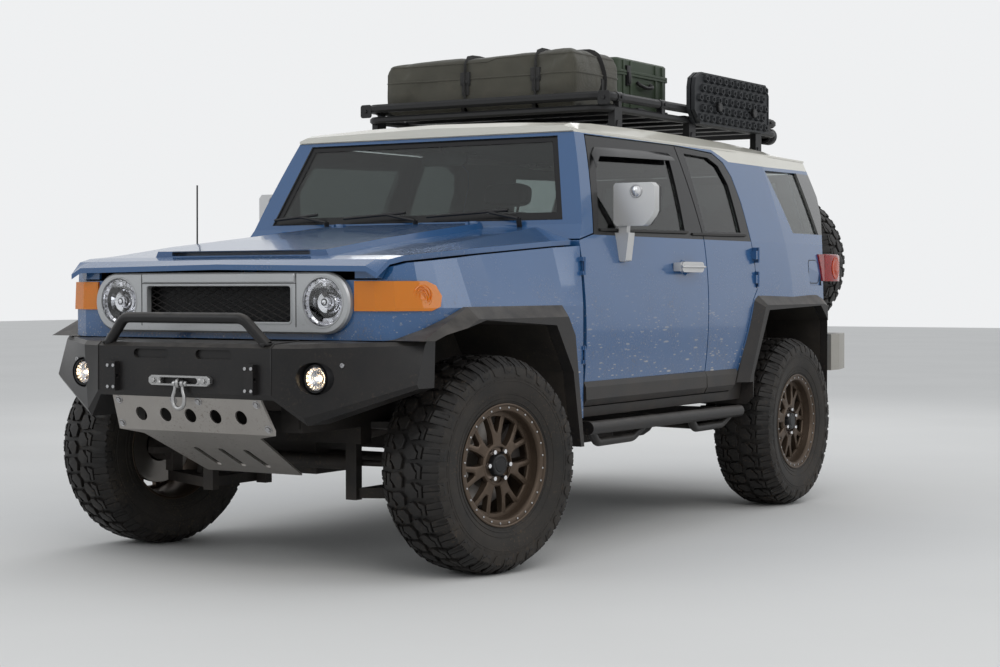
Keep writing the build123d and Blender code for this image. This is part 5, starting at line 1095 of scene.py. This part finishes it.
def add_handle(side, s, body):
    """Door handle bar on two feet, over a round cup pressed into the door."""
    section = [(0.0165 * math.sin(a), 0.006 * math.cos(a) * (1.3 if math.cos(a) > 0 else 0.8)) for a in angles(16)]
    bar = ((924, 1470), (926, 1475), (927, 1520), (927, 1640), (926, 1685), (924, 1690))
    with piece(f"handle_bar_{side}", "bright", "silver_paint", 40, body) as bm:
        add_pipe(bm, [at(s * x, d, 1162) for x, d in bar], 0, section=section, up=(0, 0, 1))
        for d in (1486, 1674):
            add_block(bm, (s * 905 - 18, s * 905 + 20), span(d, 17), (1143, 1181), 6)
    with piece(f"handle_cup_{side}", "blue", "body_paint", 40, body) as bm:
        add_lathe(bm, ((0.2, 38), (2.4, 35), (2.4, 32), (0.6, 28), (0.3, 0)), 40,
                  lambda a, r, t: at(s * (886.5 + a - r * math.cos(t) * 0.09), 1578 + r * math.sin(t),
                                     1158 + r * math.cos(t)))


VISOR_TOP = ((960, 1636), (1005, 1668), (1200, 1672), (1450, 1677), (1690, 1682), (1712, 1672))
VISOR_LOW = ((935, 1575), (1000, 1628), (1200, 1634), (1450, 1640), (1690, 1646), (1722, 1650))
VISOR_SECTION = ((0, 3), (0.3, 9), (0.7, 15), (1, 17), (1, 14.5), (0.7, 12), (0.3, 6), (0, 0.5))


def add_visor(side, s, body):
    """Smoked rain visor over the front door's window."""
    def skin(z):
        """Half width of the glass at a height."""
        return 798 + (718 - 798) * (z - 1513) / (1731 - 1513)

    with piece(f"rain_visor_{side}", "visor", "glass", 30, body) as bm:
        rows = []
        for share, lift in VISOR_SECTION:
            route = [(a[0] + (b[0] - a[0]) * share, a[1] + (b[1] - a[1]) * share) for a, b in zip(VISOR_TOP, VISOR_LOW)]
            rows.append([bm.verts.new(at(s * (skin(z) + 4 + lift), d, z)) for d, z in route])
        add_bands(bm, rows + rows[:1], open_ends=True)
        for k in (0, -1):
            bm.faces.new([row[k] for row in rows])


def add_window_seals():
    """Rubber strips along the belt line of the doors."""
    section = ((-0.008, -0.004), (0.008, -0.004), (0.006, 0.006), (-0.006, 0.006))
    for side, s in SIDES:
        for name, d0, d1 in (("front", 850, 1668), ("rear", 1712, 2290)):
            route = [at(s * 858, d, z) for d, z in ((d0, 1312), ((d0 + d1) / 2, 1314), (d1, 1318))]
            with piece(f"belt_seal_{name}_{side}", "seal", "black_plastic", 30, f"door_{name}_{side}") as bm:
                add_pipe(bm, route, 0, section=section, up=(0, 0, 1))


def add_fuel_flap():
    """Seam round the fuel flap, on the quarter's slanted side."""
    def skin(d, z, lift):
        return at(min(880.0, 872.6 - 0.0395 * (d - 3060) - 0.2075 * (z - 1200)) + lift, d, z)

    with piece("fuel_flap_seam", "seal", "body_paint", 30) as bm:
        add_loop(bm, rounded(3012, 3145, 1093, 1206, 31, 6), rounded(3008, 3149, 1089, 1210, 34, 6), skin,
                 ((0, -1), (0, 0.8), (1, 0.8), (1, -1)))


# ---------------------------------------------------------------- roof load

# Height of the roof under the rack's feet, by d
FOOT_Z = {1390: 1752, 2130: 1748, 2890: 1722}
RACK_X, RACK_TUBE_Z = 640, 1916


def add_rack_details():
    """Feet, collars, end plates and bolts of the roof rack, and its round rear lamp."""
    with piece("rack_fittings", "rack", "black_steel", 30) as bm:
        for s in (1, -1):
            for d, base in FOOT_Z.items():
                half = ((78, 0), (70, 13), (30, 20), (14, 60))
                foot = [(d - half[0][0], 0)] + [(d + u, v) for u, v in half] + [(d - u, v) for u, v in half[:0:-1]]
                add_slab(bm, foot, lambda u, v, lift: at(s * (612 + lift), u, base + v), 0, 50, 3)
                for shift in (-45, 45):
                    add_hex(bm, at(s * 662, d + shift, base + 8), (s, 0, 0), 0.008, 0.005)
            for d in (1410, 1830, 2400, 3030):
                add_pipe(bm, [at(s * RACK_X, end, RACK_TUBE_Z) for end in span(d, 26)], 0.0232, 20)
                add_hex(bm, at(s * 662, d, RACK_TUBE_Z), (s, 0, 0), 0.008, 0.006)
            add_slab(bm, rounded(1872, 1934, 1874, 1936, 12),
                     lambda u, v, lift: at(s * (RACK_X + (u - 1903)), 1286 - lift, v), 0, 6, 2)
            add_hex(bm, at(s * RACK_X, 1280, 1905), (0, -1, 0), 0.009, 0.006)
    lamp = around(560, 3160, 1862)
    with piece("rack_lamp", "black", "black_plastic", 35) as bm:
        add_lathe(bm, ((0, 0), (0, 30), (6, 38), (52, 43.5), (74, 45), (80, 44), (80, 39), (72, 37)), 40, lamp)
        for k in range(5):
            ring = [(along + k * 8, radius) for along, radius in ((12, 38), (13, 45), (15, 45), (16, 38))]
            add_lathe(bm, ring, 40, lamp)
    with piece("rack_lamp_lens", "lens_grey", "lamp_glass", 40) as bm:
        add_lathe(bm, ((73, 39), (77, 24), (79, 0)), 32, lamp)


BAG_OUTLINE = ((-556, 4), (463, 4), (480, 42), (480, 200), (456, 250), (-540, 232), (-568, 196), (-568, 40))
BAG_FLOOR = 1884.3
BAG_D = 1535
BAG_DEEP = 404
BAG_HIGH = 252
BAG_VOXEL = 0.012
BAG_PRESSURE = 4.0
BAG_GROWTH = 0.011
SIMULATION_FRAMES = 20
CLOTH = {"quality": 4, "mass": 0.3, "tension_stiffness": 12, "compression_stiffness": 12, "shear_stiffness": 6,
         "bending_stiffness": 0.6, "use_pressure": True, "uniform_pressure_force": BAG_PRESSURE}
STRAP_X = (-118, 262)
STRAP_D = 1572
STRAP_SECTION = ((-0.019, -0.0011), (0.019, -0.0011), (0.019, 0.0012), (-0.019, 0.0012))


def bake(obj):
    """Applies every modifier of an object to its mesh."""
    graph = bpy.context.evaluated_depsgraph_get()
    graph.update()
    data = bpy.data.meshes.new_from_object(obj.evaluated_get(graph))
    old = obj.data
    obj.modifiers.clear()
    obj.data = data
    bpy.data.meshes.remove(old)


def soften(obj):
    smoother = obj.modifiers.new("soft", "SUBSURF")
    smoother.levels = smoother.render_levels = 1


def bag_start():
    """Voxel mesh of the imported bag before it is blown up."""
    bm = bmesh.new()
    add_slab(bm, BAG_OUTLINE, lambda x, up, lift: at(x, 1333 + lift, BAG_FLOOR + up), 0, BAG_DEEP)
    obj = link(bpy.data.objects.new("cargo_bag_cloth", to_mesh("cargo_bag_cloth", bm, ())))
    remesh = obj.modifiers.new("voxels", "REMESH")
    remesh.mode = "VOXEL"
    remesh.voxel_size = BAG_VOXEL
    bake(obj)
    return obj


def blow_up(obj):
    """Short cloth simulation under pressure, with every point's move capped, applied to the mesh."""
    start = [v.co.copy() for v in obj.data.vertices]
    scene = bpy.context.scene
    cloth = obj.modifiers.new("cloth", "CLOTH")
    for name, value in CLOTH.items():
        setattr(cloth.settings, name, value)
    cloth.settings.effector_weights.gravity = 0.0
    cloth.collision_settings.use_collision = False
    cloth.point_cache.frame_start = 1
    cloth.point_cache.frame_end = SIMULATION_FRAMES
    for frame_number in range(1, SIMULATION_FRAMES + 1):
        scene.frame_set(frame_number)
    bake(obj)
    scene.frame_set(1)
    for v, old in zip(obj.data.vertices, start):
        move = v.co - old
        if move.length > BAG_GROWTH:
            v.co = old + move * (BAG_GROWTH / move.length)


def wrinkle(v):
    """Moves one point of the bag by its folds, its sag and the press of its straps."""
    x, d, z = v.co.x * 1000, (v.co.y - FRONT_AXLE_Y) * 1000, v.co.z * 1000
    up = (z - BAG_FLOOR) / BAG_HIGH
    inward = (at(max(-500, min(410, x)), BAG_D, BAG_FLOOR + 120) - v.co).normalized()
    press = max(math.exp(-((x - s) / 26) ** 2) for s in STRAP_X)
    press = max(press, 0.8 * math.exp(-((d - STRAP_D) / 26) ** 2)) * (0.3 + 0.7 * min(max(up, 0), 1))
    folds = noise.noise(Vector((x * 0.006, d * 0.016, z * 0.020))) * 3.4
    folds += noise.noise(Vector((x * 0.018 + 5, d * 0.030, z * 0.012 + 2))) * 1.9
    near = max(math.exp(-(abs(x - s) / 90) ** 2) for s in STRAP_X)
    folds += math.sin(z * 0.11 + x * 0.02) * 1.5 * near
    sag = 5.0 * math.sin(x * 0.0115 + 0.8) * max(up - 0.5, 0)
    v.co += inward * (press * 8.5 + folds) * MM - Vector((0, 0, sag * MM))
    v.co.z = max(v.co.z, (BAG_FLOOR + 0.5) * MM)


def add_bag():
    """Canvas cargo bag, simulated, wrinkled and pinched by its straps, with piping, straps and buckles."""
    obj = bag_start()
    blow_up(obj)
    for v in obj.data.vertices:
        wrinkle(v)
    for face in obj.data.polygons:
        face.use_smooth = True
    obj.data.materials.append(M["canvas"])
    soften(obj)
    bake(obj)
    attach(obj, "body")
    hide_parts("cargo_bag")
    tree = BVHTree.FromObject(obj, bpy.context.evaluated_depsgraph_get())

    def skin(origin, direction, lift):
        """Point a little over the bag's surface, seen from a point inside it."""
        direction = Vector(direction).normalized()
        hit = tree.ray_cast(origin + direction * 0.9, -direction)
        return hit[0] + direction * lift if hit[0] else origin

    def inside(x, up, d=BAG_D):
        """Point in the bag from x in metres."""
        return at(x * 1000, d, BAG_FLOOR + up)

    with piece("bag_piping", "canvas", "canvas", 60) as bm:
        for up, left, radius in ((150, 150, 0.0042), (236, 222, 0.0034)):
            ring = []
            for a in angles(120, closed=True):
                x = max(-0.46, min(0.37, 0.9 * math.cos(a)))
                ring.append(skin(inside(x, left if x < 0 else up), (math.cos(a) * 0.9 - x * 0.4, math.sin(a) * 0.9, 0),
                                 0.0006))
            add_pipe(bm, ring, radius, 6, cap=False)
        for x, corner in ((0.40, 1), (-0.49, -1)):
            for far in (-1, 1):
                add_pipe(bm, [skin(inside(x, 20 + 21 * k), (0.09 * corner, far * 0.30, 0), 0.0006) for k in range(10)],
                         0.0024, 6)

    with piece("bag_straps", "webbing black", "black_plastic", 35) as bm:

        def add_plate(middle, low, high, bevel, material=0):
            add_box(bm, middle + Vector(low), middle + Vector(high), bevel, material)

        for x in STRAP_X:
            arc = [math.radians(-38 + 256 * k / 32) for k in range(33)]
            strap = [skin(at(x, BAG_D, BAG_FLOOR + 90), (0, math.cos(a), math.sin(a)), 0.0022) for a in arc]
            add_pipe(bm, [at(x, 1757, 1893)] + strap + [at(x, 1306, 1897)], 0, section=STRAP_SECTION, up=(1, 0, 0))
            front = skin(at(x, BAG_D, BAG_FLOOR + 150), (0, -1, 0), 0.003)
            add_plate(front, (-0.025, -0.011, -0.030), (0.025, 0.001, 0.030), 0.003, 1)
            add_plate(front, (-0.018, -0.014, -0.022), (0.018, -0.010, -0.008), 0.0015, 1)
            add_plate(front, (-0.019, -0.009, -0.075), (0.019, -0.004, -0.028), 0.0015)
        strap = []
        for a in (math.radians(-28 + 236 * k / 40) for k in range(41)):
            x = max(-0.44, min(0.35, 0.7 * math.cos(a)))
            strap.append(skin(inside(x, 90, STRAP_D), (math.cos(a) * 0.7 - x * 0.6, 0, math.sin(a) * 0.7), 0.0022))
        add_pipe(bm, [at(520, STRAP_D, 1890)] + strap + [at(-604, STRAP_D, 1890)], 0, section=STRAP_SECTION,
                 up=(0, 1, 0))
        for s in (1, -1):
            side = skin(at(s * 300, STRAP_D, BAG_FLOOR + 105), (s, 0, 0), 0.003)
            add_plate(side, (-0.001 * s - 0.006, -0.025, -0.030), (0.006, 0.025, 0.030), 0.003, 1)


CASE_FRONT, CASE_REAR, CASE_HALF = 1772, 2284, 444
CASE_LOW, CASE_SEAM, CASE_TOP = 1884.6, 2078, 2148


def add_case():
    """Ribbed hard case with a lid, latches, handle and raised pads on top."""
    body = rounded(-CASE_HALF, CASE_HALF, CASE_FRONT, CASE_REAR, 26, 5)
    wide = rounded(-CASE_HALF - 9, CASE_HALF + 9, CASE_FRONT - 7, CASE_REAR + 7, 32, 5)
    lower, upper = (CASE_LOW + 8, CASE_SEAM - 12), (CASE_SEAM + 12, CASE_TOP - 12)
    with piece("case_shell", "case", "case_green", 30, replaces="storage_case") as bm:
        add_slab(bm, body, at, CASE_LOW, CASE_SEAM - 3, 2)
        add_slab(bm, body, at, CASE_SEAM + 1, CASE_TOP - 3, 9)
        add_slab(bm, wide, at, CASE_SEAM - 13, CASE_SEAM - 1, 2.5)
        add_slab(bm, wide, at, CASE_SEAM, CASE_SEAM + 12, 3)
        for x in (-400, -320, -150, -75, 0, 75, 150, 320, 400):
            for d in (CASE_FRONT - 7, CASE_REAR + 7):
                add_block(bm, span(x, 9), span(d, 7), lower, 3)
                add_block(bm, span(x, 9), span(d, 5), upper, 3)
        for s in (1, -1):
            for d in (1830, 1900, 2156, 2226):
                add_block(bm, span(s * CASE_HALF, 7), span(d, 9), lower, 3)
                add_block(bm, span(s * CASE_HALF, 6), span(d, 9), upper, 3)
        for x in (-330, -198, -66, 66, 198, 330):
            for d in (1870, 2028, 2186):
                add_slab(bm, rounded(*span(x, 56), *span(d, 64), 14), at, CASE_TOP - 5, CASE_TOP + 1, 2.5)
    middle = (CASE_FRONT + CASE_REAR) / 2
    grip = ((4, -62, -38), (20, -60, -52), (22, 0, -60), (20, 60, -52), (4, 62, -38))
    with piece("case_latches", "black", "black_plastic", 35) as bm:
        for x in (-235, 235):
            add_block(bm, span(x, 34), (CASE_FRONT - 17, CASE_FRONT - 4), (CASE_SEAM - 52, CASE_SEAM + 30), 3)
            add_block(bm, span(x, 26), (CASE_FRONT - 23, CASE_FRONT - 15), (CASE_SEAM - 46, CASE_SEAM + 4), 2.5)
            add_pipe(bm, [at(end, CASE_FRONT - 12, CASE_SEAM + 22) for end in span(x, 36)], 0.006, 10)
            add_block(bm, span(x, 30), (CASE_REAR + 4, CASE_REAR + 14), (CASE_SEAM - 30, CASE_SEAM + 26), 3)
        add_block(bm, (CASE_HALF - 2, CASE_HALF + 12), (1850, 1884), (CASE_SEAM - 60, CASE_SEAM + 34), 3)
        add_block(bm, (CASE_HALF + 2, CASE_HALF + 18), (1854, 1880), (CASE_SEAM - 52, CASE_SEAM + 2), 3)
        add_pipe(bm, smooth_route([at(CASE_HALF + x, middle + d, CASE_SEAM + z) for x, d, z in grip], 5), 0.009, 12)


BOARD_FRONT, BOARD_REAR, BOARD_LOW, BOARD_TOP = 2057, 2909, 1847, 2091
PIN_Z = 1935


def add_boards():
    """Two recovery boards with lugs and a raised rim, and the pins that hold them."""
    d0, d1, z0, z1 = BOARD_FRONT, BOARD_REAR, BOARD_LOW, BOARD_TOP
    outline = [(d0 + 62, z0), (d1 - 48, z0), (d1, z0 + 46), (d1, z1 - 52), (d1 - 40, z1), (d0 + 70, z1),
               (d0 + 12, z1 - 30), (d0, z1 - 74), (d0, z0 + 62)]
    small = [(d0 + 66, z0 + 9), (d1 - 52, z0 + 9), (d1 - 9, z0 + 50), (d1 - 9, z1 - 56), (d1 - 44, z1 - 9),
             (d0 + 73, z1 - 9), (d0 + 20, z1 - 36), (d0 + 9, z1 - 76), (d0 + 9, z0 + 66)]
    with piece("board_pair", "board", "board_grey", 20, replaces="recovery_boards") as bm:
        for base in (660, 685):
            add_slab(bm, outline, lambda d, z, lift: at(lift, d, z), base, base + 15, 2)
            add_loop(bm, small, outline, lambda d, z, lift: at(base + lift, d, z), ((0, 14), (0, 19), (1, 19), (1, 14)))
        for row in range(5):
            for column in range(12):
                d, z = 2112 + column * 68 + (34 if row % 2 else 0), 1875 + row * 47
                if d > 2872 or (d < 2130 and row > 3):
                    continue
                lug, hole = oval(d, z, 27, 21, 6, 0.5), oval(d, z, 11, 8, 6, 0.5)
                add_loop(bm, hole, lug, lambda u, v, lift: at(698 + lift, u, v),
                         ((0, 0), (0, 13), (0.2, 17), (0.62, 17), (1.0, 0)))
                add_loop(bm, hole, lug, lambda u, v, lift: at(662 - lift, u, v), ((0, 0), (0, 8), (0.7, 8), (1, 0)))
    with piece("board_pins", "black", "black_plastic", 30) as bm:
        for d in (2290, 2690):
            add_pipe(bm, [at(640, d, PIN_Z), at(728, d, PIN_Z)], 0.009, 16)
            add_lathe(bm, ((0, 0), (0, 22), (4, 24), (14, 24), (18, 20), (18, 0)), 8, across(712, d, PIN_Z))


# ---------------------------------------------------------------- inside and rear

SEAT_X = 370
BENCH_X = 282
BACK_TILT, BENCH_TILT, CUSHION_TILT = -9.5, -7, -3


def add_pad(name, x, d, z, material="seat", channels=(), tilt=0.0, power=6):
    """Padded block with round edges, crowned faces and sewn channels. Each channel has the axis that it is
    placed on, its place there, the axis that it presses, its depth and its width."""
    low, high = (at(x[k], d[k], z[k]) for k in (0, 1))
    middle, half = (low + high) / 2, (high - low) / 2
    bm = bmesh.new()
    bmesh.ops.create_cube(bm, size=2.0)
    bmesh.ops.subdivide_edges(bm, edges=bm.edges[:], cuts=9, use_grid_fill=True)
    turn = Matrix.Rotation(math.radians(tilt), 3, "X")
    for v in bm.verts:
        p = v.co / sum(abs(c) ** power for c in v.co) ** (1 / power)
        for axis, place, pressed, depth, width in channels:
            p[pressed] *= 1 - depth * math.exp(-((p[axis] - place) / width) ** 2)
        v.co = middle + turn @ Vector(p[k] * half[k] for k in range(3))
    obj = add_object(name, to_mesh(name, bm, [material], 180), "body")
    soften(obj)


def add_seats():
    """Padded seats on plastic bases: cushions, bolsters, backs and headrests, and the rear bench."""
    seams = [(0, u, 2, 0.05, 0.035) for u in (-0.45, 0.0, 0.45)]
    back_seams = [(0, u, 1, 0.10, 0.04) for u in (-0.45, 0.45)] + [(2, 0.45, 1, 0.12, 0.03)]
    for label, s in SIDES:
        x = s * SEAT_X
        add_pad(f"seat_cushion_{label}", span(x, 235), (1480, 1990), (812, 950), channels=seams, tilt=CUSHION_TILT)
        for place, out in (("outer", 1), ("inner", -1)):
            add_pad(f"seat_bolster_{label}_{place}", span(x + out * 205, 45), (1490, 1985), (830, 972), "seat_side",
                    tilt=CUSHION_TILT, power=4)
            add_pad(f"seat_wing_{label}_{place}", span(x + out * 196, 42), (1990, 2110), (930, 1380), "seat_side",
                    tilt=BACK_TILT, power=4)
        add_pad(f"seat_back_{label}", span(x, 222), (2005, 2118), (890, 1448), channels=back_seams, tilt=BACK_TILT)
        add_pad(f"headrest_{label}", span(x, 128), (2082, 2172), (1478, 1592), "seat_side", tilt=BACK_TILT, power=4)
    for label, s in reversed(SIDES):
        x = s * BENCH_X
        add_pad(f"bench_cushion_{label}", span(x, 278), (2315, 2750), (812, 955),
                channels=[(0, u, 2, 0.05, 0.03) for u in (-0.4, 0.4)])
        add_pad(f"bench_back_{label}", span(x, 278), (2690, 2800), (860, 1415),
                channels=[(0, u, 1, 0.10, 0.03) for u in (-0.4, 0.4)], tilt=BENCH_TILT)
        add_pad(f"bench_headrest_{label}", span(x, 120), (2760, 2835), (1395, 1495), "seat_side", tilt=BENCH_TILT,
                power=4)
    with piece("seat_bases", "black", "interior_grey", 30, replaces="seats") as bm:
        for x in (SEAT_X, -SEAT_X):
            add_block(bm, span(x, 205), (1520, 1990), (650, 815), 12)
            for s in (1, -1):
                add_block(bm, span(x + s * 180, 16), (1500, 2040), (616.5, 652), 3)
                add_pipe(bm, [at(x + s * 60, 2118, 1440), at(x + s * 60, 2130, 1500)], 0.007, 10)
            add_block(bm, span(x, 215), (1975, 2020), (815, 905), 10)
        add_block(bm, (-540, 540), (2340, 2790), (786.5, 815), 6)
        for x in (-BENCH_X, BENCH_X):
            for s in (1, -1):
                add_pipe(bm, [at(x + s * 50, 2790, 1395), at(x + s * 50, 2796, 1420)], 0.006, 8)


def add_dash():
    """Gauge hood, dials, screen, vents, knobs and glovebox lid on the dashboard."""
    hood = [(SEAT_X + 175 * math.cos(a), 1292 + 62 * math.sin(a)) for a in (math.pi * k / 14 for k in range(15))]
    with piece("dash_parts", "dash", "interior_grey", 30) as bm:
        add_slab(bm, hood, upright(1060, -1), 0, 190, 6)
        add_slab(bm, rounded(-145, 145, 1010, 1270, 18),
                 lambda x, z, lift: at(x, 1050 + lift + (1240 - z) * 0.02, z), 0, 20, 5)
        for x in (-640, -230, 230, 660):
            add_lathe(bm, ((0, 46), (14, 46), (18, 42), (14, 36), (2, 34), (2, 0)), 28, around(x, 1058, 1190))
        add_slab(bm, rounded(-620, -250, 1030, 1150, 20), upright(1052), 0, 8, 4)
    with piece("dash_dials", "black", "interior_grey", 30) as bm:
        add_slab(bm, rounded(-120, 120, 1150, 1250, 8), upright(1070), 0, 3, 1)
        for x in (-90, 0, 90):
            add_lathe(bm, ((0, 30), (14, 28), (26, 24), (26, 0)), 24, around(x, 1072, 1070))
        for x in (300, 440):
            add_lathe(bm, ((0, 52), (6, 52), (6, 47), (1, 46), (1, 0)), 32, around(x, 1062, 1285))


def add_steering_wheel():
    """Leather ring with three spokes and a hub cover."""
    tilt = math.radians(24)
    centre = at(SEAT_X, 1160, 1215)
    side, up = Vector((1, 0, 0)), Vector((0, -math.sin(tilt), math.cos(tilt)))
    axis = Vector((0, math.cos(tilt), math.sin(tilt)))
    with piece("steering_ring", "leather", "interior_grey", 60, "steering_wheel", "steering_wheel") as bm:
        add_pipe(bm, [centre + (side * math.cos(a) + up * math.sin(a)) * 0.178 for a in angles(64, closed=True)],
                 0.0145, 14, cap=False)
    with piece("steering_hub", "dash", "interior_grey", 30, "steering_wheel") as bm:
        for a in (math.pi, 0.0, -math.pi / 2):
            out, wide = side * math.cos(a) + up * math.sin(a), -side * math.sin(a) + up * math.cos(a)
            add_slab(bm, ((0.05, -0.026), (0.175, -0.016), (0.175, 0.016), (0.05, 0.026)),
                     lambda u, v, lift: centre + out * u + wide * v + axis * lift, -0.008, 0.008, 0.003)
        pad = [tuple(size * math.copysign(abs(c) ** 0.6, c) for size, c in ((0.066, math.cos(a)), (0.058, math.sin(a))))
               for a in angles(24, 0.5)]
        add_slab(bm, pad, lambda u, v, lift: centre + side * u + up * v + axis * lift, -0.02, 0.022, 0.008)


def add_cabin_details():
    """Inner mirror, and door panels with armrests, pockets and speakers."""
    with piece("inner_mirror", "black", "black_plastic", 40) as bm:
        add_slab(bm, rounded(-115, 115, 1610, 1672, 26), upright(985), 0, 22, 6)
        add_pipe(bm, [at(0, 985, 1660), at(0, 925, 1745)], 0.008, 10)
    for side, s in SIDES:
        with piece(f"door_panel_{side}", "dash", "interior_grey", 30, f"door_front_{side}") as bm:
            for outline, x, thick, bevel in (((860, 1640, 720, 1240, 50), 828, 12, 6),
                                             ((1080, 1560, 980, 1050, 28), 818, 44, 14),
                                             ((900, 1500, 740, 860, 30), 818, 26, 8)):
                add_slab(bm, rounded(*outline), lambda d, z, lift: at(s * (x - lift), d, z), 0, thick, bevel)
            add_lathe(bm, ((0, 74), (5, 72), (7, 66), (3, 60), (2, 0)), 36, across(s * 817, 960, 930, -s))


def add_rear_details():
    """Tailgate handle, bare plate plinth and the high lamp."""
    with piece("tailgate_trim", "trim", "black_plastic", 30, "tailgate") as bm:
        add_slab(bm, rounded(-640, -380, 905, 1025, 14), upright(3452), 0, 7, 2.5)
        add_slab(bm, rounded(-200, -60, 1080, 1118, 14), upright(3452), 0, 16, 5)
    with piece("high_lamp", "red", "red_lens", 30) as bm:
        add_slab(bm, rounded(-260, 0, 1704, 1722, 6), upright(3380), 0, 12, 3)


LAMP_PLAN = ((790, 3258), (866, 3256), (876, 3300), (880, 3332), (880, 3392), (870, 3449), (837, 3484), (785, 3494),
             (738, 3482), (738, 3392))
LAMP_LENS = ((50, 58, -3), (50, 58, 2.5), (46, 54, 4), (43, 51, 2.5), (30, 36, 5.5), (14, 18, 7))


def add_tail_lamps():
    """Bulky lamp housings round the rear corners, each with an oval lens in a rim."""
    with piece("tail_lamp_housings", "red", "red_lens", 50) as bm:
        add_slab(bm, LAMP_PLAN, at, 1101, 1242, 9)
        both_sides(bm)

    def outward(d, z, lift):
        return at(880 + lift - 0.10 * max(0.0, d - 3392) - 0.10 * max(0.0, 3332 - d), d, z)

    with piece("tail_lamp_lenses", "orange", "red_lens", 50) as bm:
        rings = [[bm.verts.new(outward(3372 + wide * math.sin(a), 1171 + high * math.cos(a), lift)) for a in angles(36)]
                 for wide, high, lift in LAMP_LENS]
        add_bands(bm, rings)
        bm.faces.new(rings[-1])
        both_sides(bm)


def add_windshield_band():
    """Black border of the windshield under its rubber seal."""
    def pane(x, z, lift):
        return at(x, 711 + 0.424 * (z - 1333) + 11 - lift, z)

    with piece("windshield_band", "frame_black", "black_plastic", 30) as bm:
        add_loop(bm, ((-716, 1384), (716, 1384), (622, 1686), (-622, 1686)),
                 ((-755, 1354), (755, 1354), (643, 1710), (-643, 1710)), pane,
                 ((0, 0), (0, 1.2), (0.8, 1.6), (0.86, 5), (1, 5), (1, 0)))


COIL_X, COIL_D, COIL_R, COIL_TURNS = 485, 2690, 52, 6
COIL_LOW, COIL_TOP = 470, 685


def add_underside():
    """Coil springs over the rear axle."""
    with piece("rear_coils", "chassis", "chassis_steel", 60) as bm:
        for s in (1, -1):
            route = []
            for t in (k / (COIL_TURNS * 16) for k in range(COIL_TURNS * 16 + 1)):
                angle = 2 * math.pi * COIL_TURNS * t
                route.append(at(s * (COIL_X + COIL_R * math.cos(angle)), COIL_D + COIL_R * math.sin(angle),
                                COIL_LOW + (COIL_TOP - COIL_LOW) * t))
            add_pipe(bm, route, 0.0065, 8)


# ---------------------------------------------------------------- build

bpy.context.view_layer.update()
bpy.context.scene.view_settings.view_transform = "Standard"
add_camera()
add_stage()
dress_nodes()
add_wheels()
add_front_lamps()
add_signals()
add_grille()
add_bumper_details()
add_fairlead()
add_skid_details()
add_scoop()
for one_side, sign in SIDES:
    for add_part in (add_mirror, add_handle, add_visor):
        add_part(one_side, sign, "door_front_" + one_side)
add_window_seals()
add_fuel_flap()
add_rack_details()
add_bag()
add_case()
add_boards()
add_seats()
add_dash()
add_steering_wheel()
add_cabin_details()
add_rear_details()
add_tail_lamps()
add_windshield_band()
add_underside()
